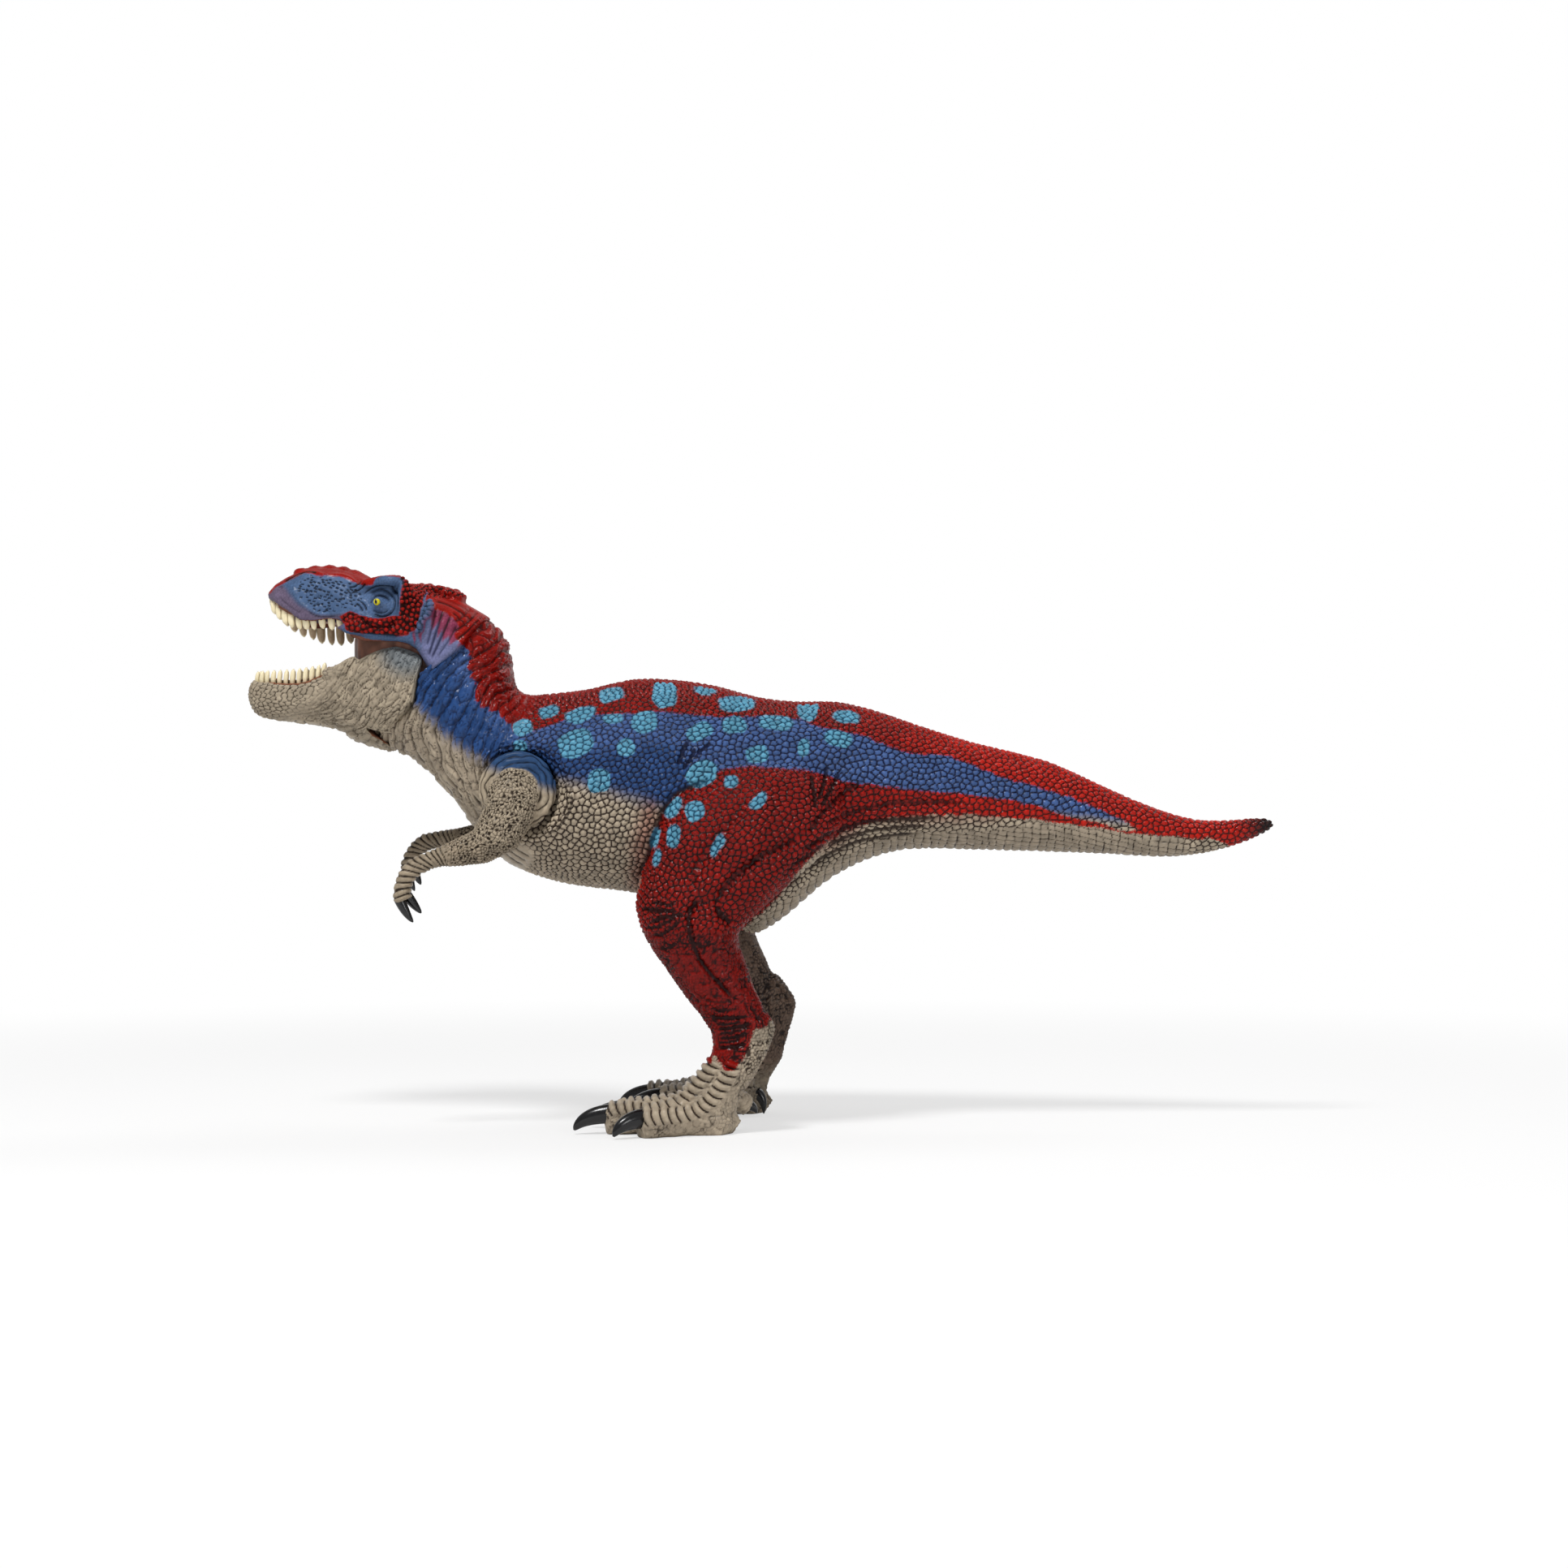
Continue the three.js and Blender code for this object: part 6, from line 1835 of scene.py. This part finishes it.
@dataclass
class Mouth:
    """Teeth, gums, linings and the pin between the jaws."""

    gum_voxel: float = 0.25
    lining_voxel: float = 0.35
    throat_bow: float = 4.0
    throat_half_width: float = 10.9
    lining_pinch: float = 0.16
    gum_edges: tuple[tuple[str, str, int, tuple[float, ...], tuple[float, ...]], ...] = (
        ("upper_teeth", "root", -1, (-133, -130.5, -127, -121, -111), (142.6, 139.9, 137.9, 137.1, 136.9)),
        ("lower_teeth", "jaw", 1, (-139, -127, -122.5, -118.6, -114), (118.4, 118.4, 119.4, 120.9, 122.6)),
    )
    rows: tuple[ToothRow, ...] = (
        ToothRow("upper_teeth_left", "root", (
            (-132.6, -1.6, 140), (-131.8, -3.7, 138.3), (-130.3, -5, 136.7), (-128.4, -6, 135.2),
            (-126.6, -6.8, 134.4), (-124.4, -7.5, 133.8), (-122.4, -8, 133.7), (-120.3, -8.5, 133.6),
            (-117.9, -8.9, 133.9), (-115.3, -9.3, 133.5), (-113, -9.7, 133.6),
        ), 4.8, 1.05, -1),
        ToothRow("upper_teeth_right", "root", (
            (-132.3, 1.6, 139.6), (-131.4, 3.9, 137.4), (-130.2, 5.4, 135.8), (-128.4, 6.6, 134.3),
            (-126.1, 7.5, 133), (-123.6, 8.1, 132.3), (-121.3, 8.6, 131.3), (-118.6, 9, 130.9),
            (-116.1, 9.4, 130.8), (-113.5, 9.8, 131.4),
        ), 7, 1.3, -1),
        ToothRow("lower_teeth_left", "jaw", strung((
            (-136.9, -1.2, 123), (-134.6, -3, 123.1), (-130, -4.5, 123.2), (-126, -5.4, 123.4), (-122, -6.3, 123.9),
            (-118.5, -7.2, 124.5), (-117.6, -7.6, 124.9),
        ), 12), 4.6, 0.76, 1),
        ToothRow("lower_teeth_right", "jaw", strung((
            (-136.7, 1.2, 123.2), (-134.4, 3, 123.4), (-129.8, 4.5, 123.6), (-125.8, 5.4, 123.8), (-122, 6.3, 124.4),
            (-118.5, 7.2, 125), (-117.4, 7.6, 125.4),
        ), 12), 4.6, 0.76, 1),
    )

    def build(self) -> None:
        """Makes the pieces of the mouth."""
        ivory, flesh = IVORY.build(), FLESH.build()
        for row in self.rows:
            row.build(ivory)
        for node, body, direction, stations, levels in self.gum_edges:
            skin = Skin((node,), self.gum_voxel)
            edge = np.interp(skin.co[:, 0], stations, levels)
            beyond = np.clip((skin.co[:, 2] - edge) * direction, 0, None)
            skin.co[:, 2] -= beyond * direction * 0.96
            skin.even(5, 0.8)
            skin.paint("stain", np.clip(0.4 + 0.6 * Ripple(Seed.GUM).at(skin.co, 1.6), 0, 1))
            skin.finish(f"{node}_gum", body, "flesh_vinyl", flesh)
        for node, body in (("mouth_core", "root"), ("lower_mouth_lining", "jaw")):
            skin = Skin((node,), self.lining_voxel)
            if body == "root":
                self.bow_throat(skin)
            skin.even(6, 0.8)
            wave = Ripple(Seed.LINING).at(skin.co * np.array((1.0, 1.0, 0.4)), 1.3)
            skin.push((wave - 1) * self.lining_pinch)
            skin.paint("stain", np.clip(0.45 - 0.7 * wave, 0, 1))
            skin.finish(f"{node}_skin", body, "flesh_vinyl", flesh)
        pin = frame["nodes"]["jaw_pivot_pin"]
        pin.data.materials.clear()
        pin.data.materials.append(PIN.build())

    def bow_throat(self, skin: Skin) -> None:
        """Bows the wall of the throat, so that it falls back between the cheeks."""
        front = ease(-104 - skin.co[:, 0], 0, 8) * ease(136 - skin.co[:, 2], 0, 4)
        skin.co[:, 0] += self.throat_bow * (np.abs(skin.co[:, 1]) / self.throat_half_width) ** 3 * front
        skin.even(40, 0.9 * front)


@dataclass
class LowerJaw:
    """Skin of the lower jaw with wrinkles that fan round the cheek lobes."""

    voxel: float = 0.32
    guides: tuple[Curve, ...] = (
        ((-114.2, 126.1), (-117.3, 122.5), (-119.4, 118.8), (-122.5, 115.7), (-128.8, 114.1), (-136.1, 115.2)),
        ((-106.9, 129.3), (-111, 124.6), (-115.2, 118.8), (-118.9, 114.6), (-124.6, 112), (-133, 111.5)),
        ((-102.2, 130.3), (-105.8, 124.6), (-110, 118.8), (-114.2, 113.6), (-118.3, 110.5), (-126.2, 109.7)),
        ((-98, 128.7), (-101.1, 122.5), (-104.8, 116.7), (-109.5, 111.5), (-112.6, 107.8), (-118.3, 108.4)),
        ((-94.8, 126.7), (-97.4, 119.9), (-101.1, 114.1), (-105.3, 109.4), (-107.9, 105.8), (-112.1, 105.8)),
        ((-92.7, 122.5), (-94.3, 115.7), (-97.4, 111), (-100.6, 107.3), (-103.7, 103.1)),
    )
    front: Curve = (
        (-145, 132), (-120, 128), (-116, 124), (-119, 118), (-124, 113), (-132, 108), (-145, 104),
    )

    cheek_line: tuple[tuple[float, ...], tuple[float, ...]] = (
        (-141, -125, -121, -117, -113, -109, -103, -98, -95, -92),
        (1, 1.2, 0.9, 0, 0, 2.3, 2.2, 1.8, 0.9, 0),
    )
    shifts: tuple[Shift, ...] = (Shift((-103.5, 102.6), (8, 6), (6.5, -0.6)),)
    pads: tuple[Pad, ...] = (
        ((-111.6, 10.6, 122.6), (3.6, 1.2, 2.2)), ((-115, 9.8, 121.8), (3.2, 1.2, 2)),
    )
    fold_depth: float = 1.15

    def build(self) -> None:
        """Makes the skin of the jaw."""
        pads = tuple(((x, side * out, z), radii) for side in (-1, 1) for (x, out, z), radii in self.pads)
        skin = Skin(("lower_jaw",), self.voxel, pads=pads)
        log.info("jaw: %d vertices", len(skin.co))
        skin.even(14, 0.9)
        lift = np.interp(skin.co[:, 0], *self.cheek_line) * ease(skin.co[:, 2], 113, 121)
        skin.co[:, 2] += lift * np.maximum(ease(np.abs(skin.co[:, 1]), 4.0, 7.0), ease(-skin.co[:, 0], 120, 124))
        for shift in self.shifts:
            shift.apply(skin)
        flat = STENCIL.flat(skin.co)
        normals = skin.normals()
        outward = ease(np.sign(skin.co[:, 1]) * normals[:, 1] + np.clip(-normals[:, 2], 0, 1), 0.1, 0.5)
        outward = np.maximum(outward, ease(-normals[:, 0], 0.3, 0.7) * ease(-130 - skin.co[:, 0], 0, 2))
        front = ease(depth_in(self.front, flat), -3.0, 4.0)
        field = FoldField(self.guides, 4.6, 3.6, Seed.JAW_FOLDS, 0.9, 0.6, (0.42, 0.22, 0.36))
        wave, creases, shades = field.wrinkles(flat, skin.co, np.arange(len(flat)))
        cells = Scales(skin.co * np.array((0.55, 1.0, 1.0)) / 1.05, Seed.JAW_CELLS, 1)
        fine = Ripple(Seed.JAW_GRAIN).at(skin.co, 0.7)
        folds = (wave - 1) * self.fold_depth * (1 - front)
        skin.push((folds + (cells.relief(0.3, 0.4) - 1) * 0.34 * front + fine * 0.05) * outward)
        groove = np.maximum(0.9 * creases * (1 - front), cells.furrow(0.2) * 0.6 * front)
        skin.paint("groove", groove * outward)
        skin.paint("tone", np.where(front > 0.5, cells.tone, shades) * 0.8 + 0.1)
        # Painted shade: darker on faces turned down
        skin.paint("dull", np.clip(-normals[:, 2], 0, 1) * 0.5)
        skin.paint("slate", 8 - np.hypot(flat[:, 0] + 96.5, flat[:, 1] - 130.0))
        inside = ease(normals[:, 2], 0.5, 0.8) * (np.abs(skin.co[:, 1]) < 10) * (skin.co[:, 0] > -133)
        skin.paint("flesh", inside * 4 - 2)
        skin.finish("jaw_skin", "jaw", "grey_vinyl", JAW_VINYL.build())


# Arms


@dataclass
class Arms:
    """The two small arms, pitted at the shoulder and ringed at the wrist."""

    voxel: float = 0.32
    raise_angle: float = 14.0
    shoulder: tuple[float, float] = (-64.96, 89.32)
    claw_paths: tuple[tuple[tuple[float, float, float], ...], ...] = (
        ((-94.4, 26.9, 60.8), (-93, 27.2, 57.7), (-91, 27.2, 55.4)),
        ((-92.7, 24.4, 61.9), (-91, 24.1, 59.6), (-89.3, 24.1, 57.7)),
    )
    claw_radius: float = 1.5
    wrist: Curve = ((-84, 77.5), (-90, 75), (-94, 71), (-95.5, 66), (-94.6, 61), (-92, 58))
    claw_room: float = 1.9
    collar_place: Place = (-64.1, 22.3, 90.2)
    collar_radii: Place = (10.4, 2.9, 10.4)
    collar_fold: float = 1.7

    def turned(self, points: Array, degrees: float) -> Array:
        """Places turned about the shoulder by an angle that lifts the hand."""
        c, s = cos_sin(degrees)
        dx, dz = points[:, 0] - self.shoulder[0], points[:, 2] - self.shoulder[1]
        return np.column_stack([self.shoulder[0] + dx * c + dz * s, points[:, 1], self.shoulder[1] - dx * s + dz * c])

    def posed(self, path: tuple[Place, ...], side: int) -> list[Place]:
        """Moves places, given as the left arm has them from the middle plane out, to one arm in its pose."""
        points = np.array(path) * (1, side, 1)
        return [tuple(place) for place in (self.turned(points, self.raise_angle) if side > 0 else points).tolist()]

    def build(self) -> None:
        """Makes both arms and their claws."""
        for side, name in SIDES:
            collar = self.posed((self.collar_place,), side)[0]
            skin = Skin((f"{name}_arm",), self.voxel, pads=((collar, self.collar_radii),))
            skin.even(12, 0.9)
            paths = [self.posed(path, side) for path in self.claw_paths]
            for places in paths:
                tuck(skin, places, self.claw_radius * self.claw_room)
            self.press_and_paint(skin, side)
            skin.finish(f"{name}_arm_skin", f"{name}_arm", "grey_vinyl", LIMB_VINYL.build())
            for number, places in enumerate(paths):
                claw = make_claw(f"{name}_hand_claw_{number + 1}", places, self.claw_radius, HORN.build())
                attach(claw, f"{name}_arm")

    def press_and_paint(self, skin: Skin, side: int) -> None:
        """Presses the rings of the wrist, the pores and cells and the collar, and paints them.

        Args:
            skin: of the arm.
            side: -1 for the left arm and 1 for the right one.
        """
        level = self.turned(skin.co, -self.raise_angle) if side > 0 else skin.co
        _, arc, _ = along(smooth_curve(self.wrist), STENCIL.flat(level))
        hand = ease(arc, 1.0, 6.0)
        rings = np.abs(np.sin(np.pi * arc / 1.5 + Ripple(Seed.WRIST_RINGS).at(level, 3.0))) ** 0.7
        collar, folds = self.collar_folds(level)
        dome = ease(level[:, 0] - 0.4 * (level[:, 2] - 80), -86, -80)
        warp = wobble(level, Seed.ARM_WARP, 3, 2.2, 0.7)
        cells = Scales((level + warp) / 1.15, Seed.ARM_CELLS, 0, 0.6)
        pits = Scales((level + warp) / 1.5, Seed.ARM_PORES, 0, 0.7)
        free = (1 - hand) * (1 - collar)
        pores = ease(0.27 - pits.near, 0.0, 0.13) * (pits.tone > 0.35) * free * dome
        bumps = (cells.relief(0.3) - 1) * 0.32
        skin.push((rings - 1) * 0.55 * hand + (bumps - pores * 0.5) * free + (folds - 1) * 0.5 * collar)
        flecks = cells.furrow(0.24) * (0.9 - 0.35 * dome)
        creases = (1 - folds) ** 1.6 * 0.75 * collar
        skin.paint("groove", np.maximum.reduce([(1 - rings) ** 1.3 * hand, flecks * free, pores, creases]))
        skin.paint("deep", np.minimum(6 * collar - 3, (level[:, 2] - 93.5) + 0.35 * (level[:, 0] + 65)))
        skin.paint("tone", cells.tone)
        # Painted shade: darker on faces turned down, and all over the right arm, which stands on the far side
        skin.paint("dull", np.clip(-skin.normals()[:, 2], 0, 1) * 0.5 + (0.5 if side > 0 else 0.0))
        # Painted shade: a darker coat towards the hand
        skin.paint("shade", 78 - level[:, 2] - 0.3 * np.abs(level[:, 0] + 80))

    def collar_folds(self, level: Array) -> tuple[Array, Array]:
        """Makes the folds that ring the shoulder between the arm's dome and the trunk.

        Args:
            level: places of the arm in millimetres, as if it hung like the left one.

        Returns:
            Where the folds lie, from 0 to 1, and their height from 0 to 1.
        """
        across, up = level[:, 0] - self.collar_place[0], level[:, 2] - self.collar_place[2]
        radius, turn = np.hypot(across, up), np.degrees(np.arctan2(up, across))
        sector = np.maximum(ease(turn, -85, -60), ease(-turn, 150, 168))
        low = ease(26.0 - np.abs(level[:, 1]), 0.0, 0.8)
        broad, fine = Ripple(Seed.COLLAR_BROAD).at(level, 3.5), Ripple(Seed.COLLAR_FINE).at(level, 1.4)
        uneven = 0.8 * broad + 0.3 * fine + 0.012 * np.abs(turn)
        folds = np.abs(np.sin(np.pi * (radius + uneven) / self.collar_fold)) ** 0.8
        return sector * low * ease(radius, 5.0, 6.5), folds


# Studio


def white_seen(nodes: Wiring, place: Socket, start: float, full: float) -> Socket:
    """Picks the rays that meet the plain white background.

    Args:
        nodes: of the material or the world.
        place: a place or direction; glosses see the white where its Y grows, behind the figure, as in
            a studio that is dim round the camera.
        start: Y at which the white begins for glosses.
        full: Y from which it is full.

    Returns:
        1 for rays from the camera, through glass, or from a gloss towards the white, and 0 for others.
    """
    path = nodes.add("LightPath").outputs
    depth = nodes.add("SeparateXYZ", {0: place}).outputs["Y"]
    behind = nodes.remap(depth, from_min=start, from_max=full)
    gloss = nodes.reckon("MULTIPLY", behind, path["Is Glossy Ray"])
    first = nodes.reckon("MAXIMUM", path["Is Camera Ray"], gloss)
    return nodes.reckon("MAXIMUM", first, path["Is Transmission Ray"])


@dataclass(frozen=True)
class StudioPaper(Finish):
    """White studio paper: matt with a faint tooth, and lit up to plain white away from the figure."""

    near: float = 0.22
    far: float = 0.6

    def wire(self, nodes: Wiring) -> None:
        """Adds the nodes."""
        place = nodes.add("TexCoord").outputs["Object"]
        tooth = nodes.noise(place, 900.0)
        bump = nodes.add("Bump", {"height": tooth}, strength=0.02, distance=0.0001).outputs[0]
        paper = nodes.add("BsdfPrincipled", {"normal": bump}, base_color=linear("#fafafa"), roughness=0.9)
        away = nodes.add("VectorMath", {0: place}, operation="LENGTH").outputs["Value"]
        white = nodes.remap(away, "SMOOTHSTEP", from_min=self.near, from_max=self.far, to_min=0.55)
        share = nodes.reckon("MULTIPLY", white, white_seen(nodes, place, 0.05, 0.3))
        glow = nodes.add("Emission", color=(1, 1, 1, 1), strength=1.0)
        mixed = nodes.add("MixShader", {0: share, 1: paper.outputs[0], 2: glow.outputs[0]})
        nodes.add("OutputMaterial", {"surface": mixed.outputs[0]})


@dataclass(frozen=True)
class Softbox:
    """A large soft lamp."""

    name: str
    place: Place
    size: float
    power: float


@dataclass
class Studio:
    """Pale floor, soft lamps and the camera at the side, in metres."""

    camera_place: Place = (0.00626, -0.700, 0.075)
    sensor: float = 36.0
    lens: float = 58.9
    rise: float = 0.0405
    clip_start: float = 0.05
    floor_size: float = 6.0
    aim: Place = (0.0, 0.0, 0.08)
    softboxes: tuple[Softbox, ...] = (
        Softbox("key_lamp", (-0.3, -0.6, 1.1), 0.3, 10.0),
        Softbox("rim_lamp", (0.6, 0.5, 0.9), 0.5, 2.5),
        Softbox("fill_lamp", (0.45, -1.0, 0.35), 0.3, 1.6),
    )
    daylight: float = 0.36
    paper: StudioPaper = StudioPaper("matt_white_studio_paper")

    def build(self) -> None:
        """Makes the floor, the lamps, the surroundings and the camera."""
        scene = bpy.context.scene
        form = bmesh.new()
        bmesh.ops.create_grid(form, x_segments=8, y_segments=8, size=self.floor_size / 2)
        floor = piece_from(form, "floor", self.paper.build())
        for box in self.softboxes:
            lamp = bpy.data.lights.new(box.name, "AREA")
            lamp.shape, lamp.size, lamp.energy = "DISK", box.size, box.power
            holder = bpy.data.objects.new(box.name, lamp)
            holder.location = box.place
            holder.rotation_euler = (Vector(self.aim) - Vector(box.place)).to_track_quat("-Z", "Y").to_euler()
            scene.collection.objects.link(holder)
        self.surroundings(scene)
        camera = bpy.data.cameras.new("camera")
        camera.sensor_width, camera.lens, camera.shift_y = self.sensor, self.lens, self.rise
        camera.clip_start = self.clip_start
        stand = bpy.data.objects.new("camera", camera)
        stand.location = self.camera_place
        stand.rotation_euler = (math.pi / 2, 0, 0)
        scene.collection.objects.link(stand)
        scene.camera = stand
        scene.view_settings.view_transform = "Standard"

    def surroundings(self, scene: bpy.types.Scene) -> None:
        """Makes even light all round, and plain white where the camera or a gloss looks past the floor."""
        world = bpy.data.worlds.new("studio")
        world.use_nodes = True
        nodes = Wiring(world.node_tree)
        way = nodes.add("TexCoord").outputs["Generated"]
        strength = nodes.remap(white_seen(nodes, way, 0.5, 0.95), to_min=self.daylight, to_max=1.0)
        shader = nodes.add("Background", {"strength": strength}, color=(1, 1, 1, 1))
        nodes.add("OutputWorld", {"surface": shader.outputs[0]})
        scene.world = world


def main() -> None:
    """Builds the looks in order."""
    logging.basicConfig(level=logging.INFO, format="%(relativeCreated)d %(message)s")
    for assembly in (Studio(), Body(), Head(), Mouth(), LowerJaw(), Arms()):
        assembly.build()
        log.info("%s done", type(assembly).__name__)


if __name__ == "__main__":
    main()
